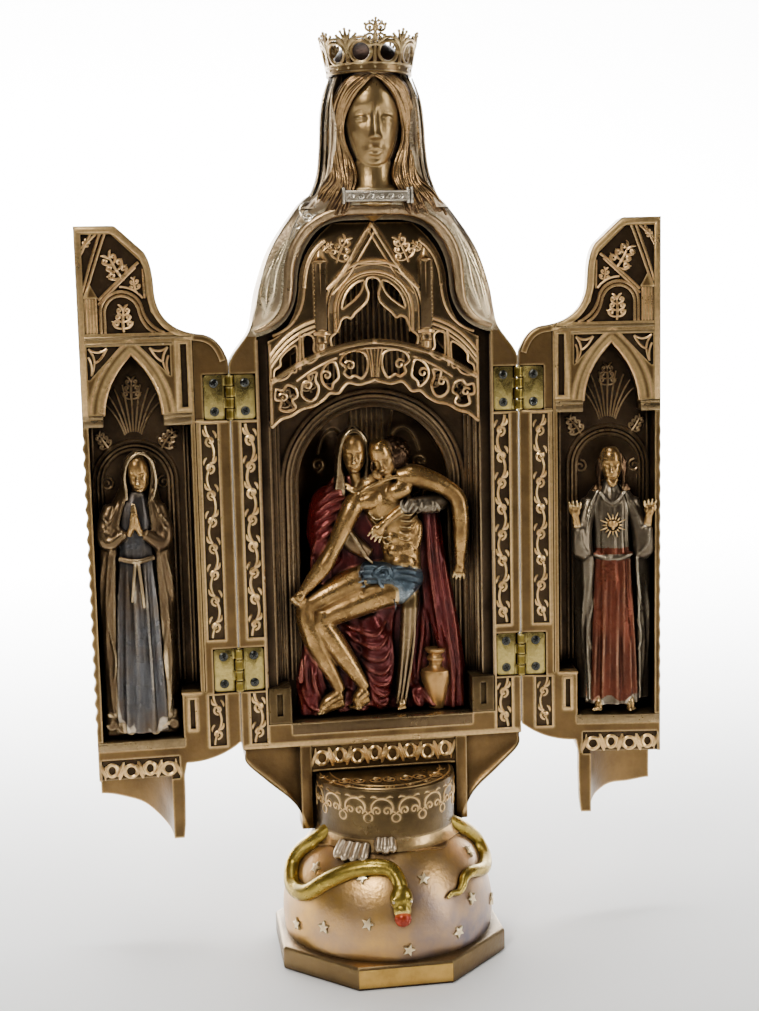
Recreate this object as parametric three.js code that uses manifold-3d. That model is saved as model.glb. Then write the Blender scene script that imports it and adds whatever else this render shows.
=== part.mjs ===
// A table-top shrine figure in cast, bronze-finished resin: a crowned Madonna on a starry globe,
// whose front opens as two hinged doors round a carved niche. Millimetres, +Z up, front at -Y.
// The origin is the middle of the plinth's underside; the plane y = 0 is where the doors meet the body.
import * as THREE from 'three';
import { mergeVertices } from 'three/addons/utils/BufferGeometryUtils.js';
import Module from 'manifold-3d';

const wasm = await Module();
wasm.setup();

// ---- driving dimensions ----
const gap = 0.3; // between pieces that touch
const plinth = { across: 73.4, height: 7.8, bevel: 1.2 };
const globe = { radius: 35, centreZ: 14.3, topZ: 40.2 };
const serpent = { radius: 2, sides: 5 };
const star = { radius: 1.7, waist: 0.75, proud: 0.7 };
const drum = { radius: 22.9, top: 60 };
const shell = { inner: 23.9, outer: 28, top: 71 }; // the gown's skirt below the frame
const frame = { bottom: 69.7, floor: 77.5, jamb: 38, opening: 34.5, clearance: 2.4 };
const niche = { arch: 25, springZ: 155, ring: 30.5, panelY: 11.4, depth: 24, stepY: 3 };
const head = { x: 0.4, width: 9.6, nose: 1.7 };
const crownSize = { points: 10, bandZ: 284.2, band: 3.2, radius: 12.7, flare: 0.2, y: 2.6, wall: 1.3 };
const tracery = { front: 0.4, back: 2.7, halfWidth: 34.2 };
const hinge = { x: 47, y: -0.15, upperZ: 185.2, lowerZ: 96.5, height: 14.2, leaf: 8.1, barrel: 1.3 };
const hingeLeaf = { front: 0.75, thick: 0.6, bore: 0.75, pin: 0.45, knuckles: 4, edge: 1.6 };
const screw = { radius: 1.45, spread: 4.5, distance: 4.9, thick: 0.4 };
const door = { width: 46.4, face: 0.15, top: 239.4, nicheDepth: 12, floor: 75, middle: 28 };
const hemLift = { left: 6, right: 0.6 }; // how far each gown hem rises towards the middle
const openAngle = { left: 1, right: 9 }; // degrees that each door stands forward of flat

// ---- materials ----
const finish = (color, roughness, metalness) =>
  new THREE.MeshStandardMaterial({ color, roughness, metalness });
const bronze = finish('#8a6a45', 0.42, 0.75);
const darkBronze = finish('#6d5233', 0.45, 0.7);
const goldBronze = finish('#a88a52', 0.38, 0.8);
const tintedBronze = finish('#7d5a45', 0.45, 0.6);
const brass = finish('#b08d45', 0.35, 0.9);
const steel = finish('#3c3c38', 0.45, 0.8);

// ---- solids from three.js geometry ----
const deg = THREE.MathUtils.degToRad;
const vec = (p) => new THREE.Vector3(p[0], p[1], p[2]);

function solid(geometry) {
  const bare = geometry.index ? geometry.toNonIndexed() : geometry.clone();
  bare.deleteAttribute('normal');
  bare.deleteAttribute('uv');
  const merged = mergeVertices(bare, 1e-4);
  const index = merged.index.array;
  const triangles = [];
  for (let i = 0; i < index.length; i += 3) {
    const [a, b, c] = index.slice(i, i + 3);
    if (a !== b && b !== c && c !== a) triangles.push(a, b, c);
  }
  return new wasm.Manifold(new wasm.Mesh({
    numProp: 3,
    vertProperties: new Float32Array(merged.attributes.position.array),
    triVerts: new Uint32Array(triangles),
  }));
}

const join = (...solids) => solids.flat(Infinity).reduce((whole, piece) => whole.add(piece));
const cut = (whole, ...tools) => tools.flat(Infinity).reduce((rest, tool) => rest.subtract(tool), whole);

// Moves every vertex of a geometry to the place that map gives for it.
function reshape(geometry, map) {
  const position = geometry.attributes.position;
  for (let i = 0; i < position.count; i += 1) {
    position.setXYZ(i, ...map(position.getX(i), position.getY(i), position.getZ(i)));
  }
  return geometry;
}

function block(x0, x1, y0, y1, z0, z1) {
  const box = new THREE.BoxGeometry(x1 - x0, y1 - y0, z1 - z0);
  return solid(box.translate((x0 + x1) / 2, (y0 + y1) / 2, (z0 + z1) / 2));
}

// An outline drawn in x and z, extruded from y0 back to y1.
function plate(shape, y0, y1, curveSegments = 4) {
  const slab = new THREE.ExtrudeGeometry(shape, { depth: y1 - y0, bevelEnabled: false, curveSegments });
  return solid(slab.rotateX(Math.PI / 2).translate(0, y1, 0));
}

function ball(centre, radii, sides = 8, rows = 6) {
  return solid(new THREE.SphereGeometry(1, sides, rows).scale(...radii).translate(...centre));
}

// Oval sections stacked along z, a row [z, centre x, centre y, half width, half depth] each.
function stack(rows, sides = 10, folds = () => 1) {
  const steps = rows.length - 1;
  const skin = new THREE.CylinderGeometry(1, 1, 1, sides, steps);
  return solid(reshape(skin, (x, y, z) => {
    const [rowZ, centreX, centreY, halfWidth, halfDepth] = rows[Math.round((y + 0.5) * steps)];
    const angle = Math.atan2(x, z);
    const r = Math.hypot(x, z) * folds(angle, rowZ);
    return [centreX + halfWidth * r * Math.sin(angle), centreY - halfDepth * r * Math.cos(angle), rowZ];
  }));
}

// A limb, lock or fold: round sections along a curve through points, one radius for each point.
function limb(points, radii, sides = 6, steps = points.length - 1, up = [0, 0.3, 1]) {
  const curve = new THREE.CatmullRomCurve3(points.map(vec));
  const skin = new THREE.CylinderGeometry(1, 1, 1, sides, steps);
  return solid(reshape(skin, (x, y, z) => {
    const t = THREE.MathUtils.clamp(y + 0.5, 0, 1);
    const along = curve.getTangent(t);
    const across = new THREE.Vector3().crossVectors(vec(up), along).normalize();
    const over = new THREE.Vector3().crossVectors(across, along);
    const place = t * (points.length - 1);
    const i = Math.min(Math.floor(place), points.length - 2);
    const radius = THREE.MathUtils.lerp(radii[i], radii[i + 1], place - i);
    const centre = curve.getPoint(t);
    return centre.addScaledVector(across, x * radius).addScaledVector(over, z * radius).toArray();
  }));
}

// A shape whose right half follows path from bottom to top, and whose left half mirrors it.
function symmetric(path, divisions = 3) {
  const right = path.getPoints(divisions);
  const left = right.filter((p) => p.x > 0.01).reverse().map((p) => new THREE.Vector2(-p.x, p.y));
  return new THREE.Shape([...right, ...left]);
}

function oval(x, z, halfWidth, halfHeight) {
  return new THREE.Shape().absellipse(x, z, halfWidth, halfHeight, 0, 2 * Math.PI);
}

// The two ends of a span given from the middle outwards, in rising order, on the side +1 or -1.
const span = (side, from, to) => [side * from, side * to].sort((p, q) => p - q);

function polygon(...points) {
  return new THREE.Shape(points.map(([x, z]) => new THREE.Vector2(x, z)));
}

// A named mesh from a solid; mirror = true turns a right-hand solid into its left-hand twin.
function piece(name, body, material, mirror = false) {
  const { numProp, vertProperties, triVerts } = body.getMesh();
  const corners = [];
  for (let i = 0; i < vertProperties.length; i += numProp) {
    corners.push(vertProperties[i] * (mirror ? -1 : 1), vertProperties[i + 1], vertProperties[i + 2]);
  }
  const faces = mirror ? Array.from(triVerts).reverse() : Array.from(triVerts);
  const geometry = new THREE.BufferGeometry();
  geometry.setAttribute('position', new THREE.Float32BufferAttribute(corners, 3));
  geometry.setIndex(faces);
  geometry.computeVertexNormals();
  const mesh = new THREE.Mesh(geometry, material);
  mesh.name = name;
  return mesh;
}

// ---- base: octagonal plinth, globe, serpent and stars, one casting ----
function onGlobe(azimuth, elevation, proud = 0) {
  const r = globe.radius + proud;
  const flat = r * Math.cos(deg(elevation));
  return [
    flat * Math.sin(deg(azimuth)),
    -flat * Math.cos(deg(azimuth)),
    globe.centreZ + r * Math.sin(deg(elevation)),
  ];
}

function starAt(azimuth, elevation) {
  const shape = new THREE.Shape();
  for (let i = 0; i < 10; i += 1) {
    const r = i % 2 ? star.waist : star.radius;
    const a = (i * Math.PI) / 5;
    shape[i ? 'lineTo' : 'moveTo'](r * Math.sin(a), r * Math.cos(a));
  }
  const body = new THREE.ExtrudeGeometry(shape, { depth: star.proud * 2, bevelEnabled: false });
  body.translate(0, 0, globe.radius - star.proud);
  body.rotateX(Math.PI / 2 - deg(elevation)).rotateZ(deg(azimuth));
  return solid(body.translate(0, 0, globe.centreZ));
}

// The serpent's two visible lengths, tail and head, where they leave the gown's hem.
function coils() {
  const r = serpent.radius;
  const tail = [[26, 19], [34, 20], [41, 25], [52, 26], [66, 23], [80, 25], [87, 32], [83, 37], [76, 40]];
  const neck = [[-76, 40], [-83, 35], [-83, 27], [-73, 19], [-59, 19], [-45, 30], [-31, 36.5],
    [-16, 38], [-6, 36.5], [-1, 30], [-1, 24], [-1, 20]];
  const tailSizes = [0.25, 0.45, 0.6, 0.75, 0.85, 0.95, 1, 1, 1];
  const neckSizes = [1, 1, 1, 1, 1, 1, 1, 0.95, 0.9, 1, 1.3, 0.6];
  const path = (route) => route.map(([azimuth, elevation]) => onGlobe(azimuth, elevation, r * 0.45));
  const sizes = (shares) => shares.map((share) => share * r);
  return [
    limb(path(tail), sizes(tailSizes), serpent.sides, 9, [0, -0.4, 0.9]),
    limb(path(neck), sizes(neckSizes), serpent.sides, 13, [0, -0.4, 0.9]),
  ];
}

function globeBase() {
  const corner = plinth.across / 2 / Math.cos(Math.PI / 8);
  const step = [
    [0, 0], [corner, 0], [corner, plinth.height - plinth.bevel],
    [corner - plinth.bevel, plinth.height], [0, plinth.height],
  ].map(([x, y]) => new THREE.Vector2(x, y));
  const octagon = new THREE.LatheGeometry(step, 8, Math.PI / 8).rotateX(Math.PI / 2);

  const low = Math.asin((plinth.height - 3 - globe.centreZ) / globe.radius);
  const high = Math.asin((globe.topZ - globe.centreZ) / globe.radius);
  const arc = [];
  for (let i = 0; i <= 4; i += 1) {
    const a = THREE.MathUtils.lerp(low, high, i / 4);
    arc.push(new THREE.Vector2(globe.radius * Math.cos(a), globe.centreZ + globe.radius * Math.sin(a)));
  }
  const profile = [new THREE.Vector2(0, arc[0].y), ...arc, new THREE.Vector2(0, globe.topZ)];
  const sphere = new THREE.LatheGeometry(profile, 18).rotateX(Math.PI / 2);

  const stars = [[-59, 33], [-24, 33], [14, 31], [62, 35], [44, 14], [70, 4], [31, 0], [2, -4],
    [-19, 10], [-44, 5], [-65, 1]];
  return join(solid(octagon), solid(sphere), coils(), stars.map(([a, e]) => starAt(a, e)));
}

// ---- body: gown, mantle, niche and head, one casting ----
// A row is [z, half width, reach in front of y = 0, reach behind].
const mantleRows = [
  [41, 26, -2, 22], [50, 30, -3, 26], [58, 38.5, -4, 29], [65, 45.6, -4, 30.5], [69.4, 46, -4, 31],
  [frame.bottom, 46, 0, 31], [135, 46, 0, 31.5], [197, 45.8, 0, 31.5], [205.5, 40.5, 0.4, 31],
  [212, 38.6, 3, 30.6], [220, 36.7, 3.6, 30], [232, 32.2, 4.4, 28.5], [243.5, 24.5, 6.4, 25],
  [247.4, 20.8, 6.8, 22.6],
];

function mantle() {
  const steps = mantleRows.length - 1;
  const skin = new THREE.CylinderGeometry(1, 1, 1, 24, steps);
  const foldDepth = (z) => THREE.MathUtils.clamp((z < 240 ? 240 - z : 0) / 60, 0.25, 1) * 1.1;
  return solid(reshape(skin, (x, y, z) => {
    const [rowZ, halfWidth, front, back] = mantleRows[Math.round((y + 0.5) * steps)];
    const r = Math.hypot(x, z);
    const angle = Math.atan2(x, z);
    const ahead = Math.cos(angle);
    const fold = ahead < -0.05 ? foldDepth(rowZ) * Math.cos(angle * 12) : 0;
    const reach = ahead > 0 ? -front * ahead ** 0.7 : (back + fold) * (-ahead) ** 0.75;
    return [halfWidth * Math.sign(x) * Math.abs(Math.sin(angle)) ** 0.9 * r, reach * r, rowZ];
  }));
}

// The door opening's edge, grow = how far outside the doors' own outline.
function doorway(grow, bottom, halfWidth) {
  const path = new THREE.Path().moveTo(halfWidth, bottom).lineTo(halfWidth, 203.5 + grow);
  path.quadraticCurveTo(25.5 + grow, 206 + grow, 24.2 + grow, 219);
  path.quadraticCurveTo(24.4 + grow, 231, 13 + grow / 2, 239.6 + grow).lineTo(0, 239.6 + grow);
  return symmetric(path, 3);
}

function nicheHollow() {
  const way = plate(doorway(frame.clearance, frame.floor, frame.jamb), -20, 0);
  const recess = plate(doorway(0.4, frame.floor, frame.jamb), -1, niche.stepY);
  const opening = plate(doorway(-2.4, frame.floor, frame.opening), -20, niche.panelY);
  const bay = new THREE.Path().moveTo(niche.arch, frame.floor).lineTo(niche.arch, niche.springZ);
  bay.absarc(0, niche.springZ, niche.arch, 0, Math.PI / 2);
  const back = stack([[frame.floor - 5, 0, 0, 30, niche.depth], [190, 0, 0, 30, niche.depth]], 16);
  const inner = plate(symmetric(bay, 4), 0, 40).intersect(back);
  const vault = plate(doorway(-6, 188, 26), 0, 15);
  return [way, recess, opening, inner, vault];
}

function archRing(outer, inner, bottom, y0, y1) {
  const shape = new THREE.Shape().moveTo(outer, bottom).lineTo(outer, niche.springZ);
  shape.absarc(0, niche.springZ, outer, 0, Math.PI).lineTo(-outer, bottom).lineTo(-inner, bottom);
  shape.lineTo(-inner, niche.springZ).absarc(0, niche.springZ, inner, Math.PI, 0, true);
  shape.lineTo(inner, bottom);
  return plate(shape, y0, y1, 4);
}

function nicheTrim() {
  const trim = [archRing(niche.ring, niche.ring - 2.2, 89.4, niche.panelY - 1.5, niche.panelY + 0.5)];
  for (const side of [-1, 1]) {
    const shaft = [side * 32.4, niche.panelY - 0.6];
    trim.push(block(...span(side, 30, 37.8), 1.5, niche.panelY + 0.5, 77, 89.5));
    trim.push(limb([[...shaft, 88], [...shaft, 178]], [1.5, 1.5], 6));
  }
  return trim;
}

function skirt() {
  const ring = (rows) => solid(new THREE.LatheGeometry(
    rows.map(([x, y]) => new THREE.Vector2(x, y)), 20).rotateX(Math.PI / 2));
  const roller = ring([[0, 41], [drum.radius, 41], [drum.radius, drum.top], [0, drum.top]]);
  // the gown's hem lies on the globe all round, with a wavy lower edge
  const over = (z) => Math.sqrt(globe.radius ** 2 - (z - globe.centreZ) ** 2) + gap;
  const rim = new THREE.LatheGeometry([
    [over(40), 40.55], [over(39.6) + 0.6, 39.6], [drum.radius, 41.3], [20, 41], [over(40), 40.55],
  ].map(([x, y]) => new THREE.Vector2(x, y)), 18).rotateX(Math.PI / 2);
  const pieces = [roller, solid(rim), block(-24.3, 24.3, 1.2, 10, 60.4, 70)];
  for (const side of [-1, 1]) {
    pieces.push(block(...span(side, 24.3, 28), 0, 9, 41.2, 70));
  }
  return pieces;
}

function toes() {
  const feet = [[-42, 5, 4.8, 45.5], [-15, 3, 4.8, 47.5]];
  return feet.map(([first, count, pitch, elevation]) => Array.from({ length: count }, (_, i) => {
    const azimuth = first + i * pitch;
    const [root, tip] = [elevation + 7, elevation].map((angle) => onGlobe(azimuth, angle, 1.6));
    return limb([root, tip], [1.2, 0.9], 4, 1);
  }));
}

// The head from the collar up, one skin: face or throat in front, hair beside it, veil behind.
// A row is [z, reach of face or throat, reach of the hair, veil half width, veil reach behind].
const headRows = [
  [245, 8.6, 12, 21, 19], [249, 8, 12.2, 19.2, 17.4], [254.6, 7.4, 12.6, 17.2, 16],
  [256.6, 11.4, 13, 16.8, 15.8], [261, 12.4, 13.6, 16.5, 15.8], [265.4, 12.8, 14, 16.2, 15.8],
  [272, 12.6, 14.2, 15.8, 16], [278, 12.2, 14, 14.8, 15], [283.6, 11.6, 12.4, 12.6, 12.6],
  [284, 10.4, 10.8, 11, 11.2], [291.5, 6, 6, 6, 6],
];

function headSkin() {
  const steps = headRows.length - 1;
  const skin = new THREE.CylinderGeometry(1, 1, 1, 24, steps);
  const centreY = 3;
  return solid(reshape(skin, (x, y, z) => {
    const [rowZ, face, hair, halfWidth, back] = headRows[Math.round((y + 0.5) * steps)];
    const evenly = Math.atan2(x, z);
    const angle = evenly - 0.3 * Math.sin(evenly); // more of the facets in front
    const [across, ahead] = [Math.sin(angle), Math.cos(angle)];
    const rim = (wide, deep) => 1 / Math.hypot(across / wide, ahead / deep);
    const aside = Math.abs(angle);
    let reach = rim(halfWidth, back);
    if (aside < 1.25) reach = Math.min(reach, hair + (rowZ < 283 ? 0.5 * Math.cos(aside * 16) : 0));
    if (aside < 0.72) reach = rim(Math.min(head.width, face), face);
    const noseHere = aside < 0.02 && rowZ > 262 && rowZ < 268 ? head.nose : 0;
    const r = Math.hypot(x, z) * (reach + noseHere);
    return [head.x + r * across, centreY - r * ahead, rowZ];
  }));
}

function collar() {
  const strand = [[13, -4.4, 262], [12.4, -5.2, 252], [15.6, -6.4, 244.5]];
  const lock = (side) => {
    const points = strand.map(([x, y, z]) => [head.x + side * x, y, z]);
    return limb(points, [1.4, 2, 1.2], 5, 3, [0, 1, 0.2]);
  };
  return [lock(-1), lock(1), block(-9.7, 10.9, -7.8, -2, 245.2, 248.6)];
}

function hingeRecess(z) {
  const deep = hingeLeaf.front + hingeLeaf.thick + gap;
  const half = hinge.height / 2 + gap;
  return [-1, 1].map((side) =>
    block(...span(side, hinge.x - hinge.leaf - gap, hinge.x + 2), -1, deep, z - half, z + half));
}

function sidePanels() {
  return [-1, 1].map((side) => [[71.6, 88.6], [107, 177]].map(([low, high]) =>
    block(...span(side, 38.6, 43.6), -1, 0.7, low, high)));
}

function shrineBody() {
  const whole = join(mantle(), skirt());
  const recesses = [hinge.upperZ, hinge.lowerZ].map(hingeRecess);
  const hollow = cut(whole, nicheHollow(), recesses, sidePanels());
  return join(hollow, nicheTrim(), toes(), headSkin(), collar());
}

// ---- crown: a flared hoop with round openings between leaf points ----
function crown() {
  const { points, bandZ, band, radius, flare, y, wall } = crownSize;
  const hoop = new THREE.LatheGeometry([
    [radius - 0.7, 0], [radius + 0.5, 0], [radius + 0.9, band], [radius - 0.5, band], [radius - 0.7, 0],
  ].map(([a, b]) => new THREE.Vector2(a, b)), points, Math.PI / points);
  hoop.rotateX(Math.PI / 2).translate(head.x, y, bandZ);
  const stand = (shape, turns) => {
    const slab = new THREE.ExtrudeGeometry(shape, { depth: wall, bevelEnabled: false, curveSegments: 4 });
    slab.rotateX(Math.PI / 2).translate(0, wall / 2, 0).rotateX(flare);
    slab.translate(0, -radius - 0.1, band - 0.6).rotateZ((turns * 2 * Math.PI) / points);
    return solid(slab.translate(head.x, y, bandZ));
  };
  const parts = [solid(hoop)];
  // each point is a stem whose arms meet the next one's over a round opening, under a leaf
  for (let i = 0; i < points; i += 1) {
    const tip = i === 0 ? 13.6 : 11.6;
    const half = [[0.9, 0], [1.1, 3], [4.3, 5.4], [4.3, 7], [1.3, 7.6], [2.6, 9.4]];
    parts.push(stand(polygon(...half, [0, tip], ...half.reverse().map(([x, z]) => [-x, z])), i));
  }
  return join(parts);
}

// ---- tracery screen: gable, arch, pinnacles and a pierced scroll band in one plate ----
function traceryScreen() {
  const { front, back, halfWidth } = tracery;
  const edge = new THREE.Path().moveTo(0, 186.2);
  edge.quadraticCurveTo(18, 185, halfWidth, 174.6).lineTo(halfWidth, 202.6);
  edge.quadraticCurveTo(25.2, 205.6, 24, 219).quadraticCurveTo(24.2, 230.8, 12.8, 239.4).lineTo(0, 239.4);
  const shape = symmetric(edge, 3);
  const cusped = new THREE.Path().moveTo(0, 201.6).quadraticCurveTo(7, 201.2, 12.6, 199.4);
  cusped.lineTo(12.4, 205).quadraticCurveTo(7.4, 205.6, 6.6, 210).quadraticCurveTo(3.6, 213, 2.6, 219);
  cusped.quadraticCurveTo(2.4, 221.2, 0, 221.6);
  shape.holes.push(symmetric(cusped, 3));
  const rings = [[7.4, 193.4, 4.4, 3.6], [15.2, 189.4, 3, 3.5], [22, 184.8, 3.3, 3.3],
    [29.6, 181.8, 3.2, 3.4], [29.6, 193.6, 2.9, 5.2], [22.6, 199.4, 2.6, 4.2]];
  for (const side of [-1, 1]) {
    for (const [x, z, halfW, halfH] of rings) shape.holes.push(oval(side * x, z, halfW, halfH));
    const spandrel = [[4.9, 219.6], [7.4, 212.2], [12.2, 207.6], [11.2, 213.6]];
    shape.holes.push(polygon(...spandrel.map(([x, z]) => [side * x, z])));
  }
  const parts = [plate(shape, front + 0.7, back, 3)];
  // raised mouldings on the plate
  const arch = new THREE.Shape().absarc(0, 211.5, 16, 0, Math.PI).absarc(0, 211.5, 13.8, Math.PI, 0, true);
  parts.push(plate(arch, front, back, 5));
  const band = new THREE.Path().moveTo(0, 200.4).quadraticCurveTo(18, 199.4, halfWidth, 187.4);
  band.lineTo(halfWidth, 190).quadraticCurveTo(18, 201.6, 0, 202.6);
  parts.push(plate(symmetric(band, 3), front, back));
  for (const side of [-1, 1]) {
    const bar = [[0, 239.2], [0, 235.6], [10.6, 222.4], [17, 215.4], [17, 217.8], [11.8, 223.6]];
    parts.push(plate(polygon(...bar.map(([x, z]) => [side * x, z])), front, back));
    parts.push(block(...span(side, 15.1, 18.9), front - 0.3, back, 203, 227));
    const tip = new THREE.CylinderGeometry(0.1, 2.4, 4.4, 4, 1).rotateY(Math.PI / 4).rotateX(Math.PI / 2);
    parts.push(solid(tip.scale(1, 0.55, 1).translate(side * 17, back - 1.35, 229)));
    parts.push(ball([side * 17, back - 1.4, 201.4], [1.8, 1.3, 2.6], 6, 4));
  }
  return join(parts);
}

// ---- the lamentation group and its vase, one casting in the niche ----
function pietaGroup() {
  const floor = frame.floor + gap;
  const folds = (angle) => 1 + 0.05 * Math.cos(6 * angle);
  const drapery = stack([
    [floor, 0, 11.4, 23.4, 6.4], [104, 0, 11.8, 22.4, 6.8], [121, 0, 12.4, 21, 6.8], [129, 1, 13.4, 18, 5.6],
    [150, -1, 14.6, 16, 4.8], [157.5, -5, 15, 8.6, 4],
  ], 12, folds);
  const mother = [
    stack([[150, -6, 15.6, 9.4, 4.6], [160, -6, 15.2, 7, 5.2], [168.6, -5.8, 14.8, 6, 5.4],
      [173, -5.6, 15, 3, 3]], 7), // veil
    ball([-5.6, 11.8, 164.6], [4.2, 3.6, 5.6], 7, 5),
    limb([[18, 12.6, 151], [20.6, 10.4, 146], [3.2, 7.8, 140.6]], [3, 3.2, 1.6], 5, 3),
    limb([[10, 12, 124], [11.7, 8.8, 113], [6.6, 8.4, floor + 2]], [5, 5, 3.4], 5, 2),
    ball([5.6, 6.8, floor + 1.2], [2.6, 3, 1.6], 5, 3),
    limb([[23, 10.6, 124], [25.6, 6.8, 104], [26.6, 6.8, floor - 1]], [2.2, 3, 3.6], 5, 2),
    limb([[-21, 10.6, 118], [-24.4, 7, 98], [-25.4, 6.8, floor - 1]], [2.4, 2.8, 3.4], 5, 2),
  ];
  const son = [
    ball([5.2, 10, 162.4], [4.4, 4.2, 5.2], 7, 5),
    limb([[0.6, 11.4, 155.4], [2.2, 10.4, 149], [7.6, 10.2, 132], [9.8, 10, 121]],
      [4.2, 6.4, 4.8, 5.2], 7, 4),
    limb([[-6, 9.8, 151], [-8, 9.4, 149.4], [-16.4, 7.8, 132.4], [-28, 6.2, 118]],
      [2.6, 3.2, 2.1, 1.5], 5, 3),
    limb([[6, 10.4, 156.4], [17.6, 9.8, 153.4], [27, 8, 148.6]], [3.2, 2.8, 2.1], 5, 2),
    limb([[26.6, 8, 149.8], [28.2, 7.2, 139], [27.7, 6.6, 118.6]], [2.1, 1.9, 1.1], 5, 2),
    limb([[8.6, 8.8, 121.6], [-4, 8, 119.6], [-20, 7.4, 113]], [5, 4.2, 3], 6, 2),
    limb([[6, 12, 125], [-8, 11, 123], [-24, 8.9, 116.6]], [4.4, 4.4, 3.3], 5, 2),
    limb([[-19.6, 8, 114], [-13.4, 7.4, 102], [-6.2, 8.4, 85]], [3, 2.9, 1.8], 5, 3),
    limb([[-23.4, 9, 118.4], [-19.6, 8.4, 101], [-13.2, 7.6, 83.6]], [3, 2.7, 1.8], 5, 3),
    limb([[-12.4, 7.8, 84], [-17, 6.6, 81], [-23.4, 6, 79.4]], [1.9, 1.6, 0.8], 4, 2),
  ];
  const vaseProfile = [[0, floor], [3, floor], [5.2, 87.6], [5.1, 90], [2.7, 92], [2.6, 94.6],
    [3.9, 97], [0, 98.4]].map(([r, z]) => new THREE.Vector2(r, z));
  const vase = solid(new THREE.LatheGeometry(vaseProfile, 8).rotateX(Math.PI / 2).translate(19.4, 9, 0));
  return cut(join(drapery, mother, son, vase), block(-60, 60, -10, 60, 60, floor));
}

// ---- doors, drawn as the right-hand one: x from the hinge axis outwards, y back from its inner face ----
function doorOutline() {
  const { width, top } = door;
  const shape = new THREE.Shape().moveTo(0.5, 72.5).lineTo(0.5, 197);
  shape.quadraticCurveTo(2.6, 204.4, 8, 205.3).quadraticCurveTo(21.6, 206.6, 22.4, 219);
  shape.lineTo(23, 228.6).lineTo(34, top).lineTo(width, top).lineTo(width, 62);
  shape.lineTo(19, 62).lineTo(18, 66.6).quadraticCurveTo(8, 66.4, 0.5, 72.5);
  return shape;
}

// How far the closed door's outside stands in front of its inner face: the gown and mantle.
function doorDepth(x, z) {
  const edge = THREE.MathUtils.clamp((z - 196) / 14, 0, 1) * 22;
  const across = THREE.MathUtils.clamp((door.width - x) / (door.width - edge), 0, 1);
  const chest = THREE.MathUtils.clamp((z - 150) / 90, 0, 1);
  const deepest = door.middle - 17 * chest ** 1.3;
  const fold = x > 6 ? 1.1 * Math.cos(x / 1.478) * THREE.MathUtils.clamp((190 - z) / 40, 0, 1) : 0;
  return 4.2 + (deepest - 4.2) * Math.sqrt(1 - across ** 2) + fold;
}

function doorBulk() {
  const box = new THREE.BoxGeometry(1, 1, 1, 10, 1, 9);
  const [low, high] = [60, 242];
  return solid(reshape(box, (x, y, z) => {
    const [along, up] = [(x + 0.5) * door.width, low + (z + 0.5) * (high - low)];
    return [along, y < 0 ? door.face : doorDepth(along, up), up];
  }));
}

function doorNiche() {
  const opening = new THREE.Path().moveTo(44.6, door.floor).lineTo(44.6, 177).lineTo(40.2, 177);
  opening.quadraticCurveTo(39.8, 191, 30.4, 200.2).quadraticCurveTo(21.4, 191, 20.8, 177);
  opening.lineTo(12.6, 177).lineTo(12.6, 90).lineTo(18.6, 90).lineTo(18.6, door.floor);
  const low = new THREE.Shape(opening.getPoints(3));
  return plate(low, -1, door.nicheDepth);
}

function doorPanels() {
  const corners = [[2.2, 202.6], [9.4, 202.6], [9.4, 190]];
  const spandrels = [-1, 1].map((side) => polygon(...corners.map(([x, z]) => [30.4 + side * x, z])));
  const gable = polygon([35.4, 237], [39, 226.4], [39, 208], [26.4, 208], [25, 214], [25, 225]);
  return [
    block(0, 11.4, -1, 0.75, 178.4, 206), // sunk ground round the upper hinge
    [...spandrels, gable].map((shape) => plate(shape, -1, 0.9)),
    block(14, 15.8, -1, 1, 183.4, 201.6), // slot of the pilaster
    block(4.2, 9.6, -1, 0.7, 107, 177), block(4.8, 10.2, -1, 0.7, 71.6, 88.6), // scroll strips
  ];
}

function doorSkirt(lift) {
  const skin = new THREE.LatheGeometry([
    [shell.inner, 43], [shell.outer - 0.6, 43], [shell.outer, 56], [shell.outer, shell.top],
    [shell.inner, shell.top], [shell.inner, 43],
  ].map(([x, y]) => new THREE.Vector2(x, y)), 28).rotateX(Math.PI / 2);
  reshape(skin, (x, y, z) => {
    if (z > 44) return [x, y, z];
    const round = Math.abs(Math.atan2(y, -x)); // nought at the hinge side, a quarter turn in the middle
    const rise = THREE.MathUtils.smoothstep(round, 0, 0.6);
    return [x, y, 41.4 + 3.2 * rise + lift * THREE.MathUtils.smoothstep(round, 0.3, 1.4)];
  });
  const whole = solid(skin.translate(hinge.x, 0, 0));
  return whole.intersect(block(0, door.width, door.face, 60, 30, shell.top));
}

function doorSleeve() {
  const parts = [
    limb([[20, 15, 150], [30, 23, 158], [40, 27, 170], [47, 27, 180]], [5, 5.4, 4.6, 3.2], 6, 3),
    limb([[45.6, 27, 176], [46.4, 27.6, 186], [46.6, 26, 196]], [2.6, 2.4, 1.2], 5, 2),
  ];
  return join(parts).intersect(block(0, door.width, 4, 60, 60, 240));
}

function doorTrim() {
  return [
    block(12.4, 21, door.face, 6, 177, 180.6), block(40, door.width, door.face, 6, 177, 180.6),
    block(18.6, 44.6, door.face, 8, 72, door.floor), // the niche's ledge
    block(39.8, 44.2, door.face, 4, 206, 222),
    limb([[38.2, 0.95, 208.4], [36.6, 0.95, 215], [31.6, 0.95, 218.2], [26.8, 0.95, 215],
      [25.6, 0.95, 208.6]], [0.8, 0.8, 0.8, 0.8, 0.8], 3, 4),
    plate(archBand(30.6, 13.6, 142, 158), door.nicheDepth - 1.2, door.nicheDepth + 1, 3),
  ];
}

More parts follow.
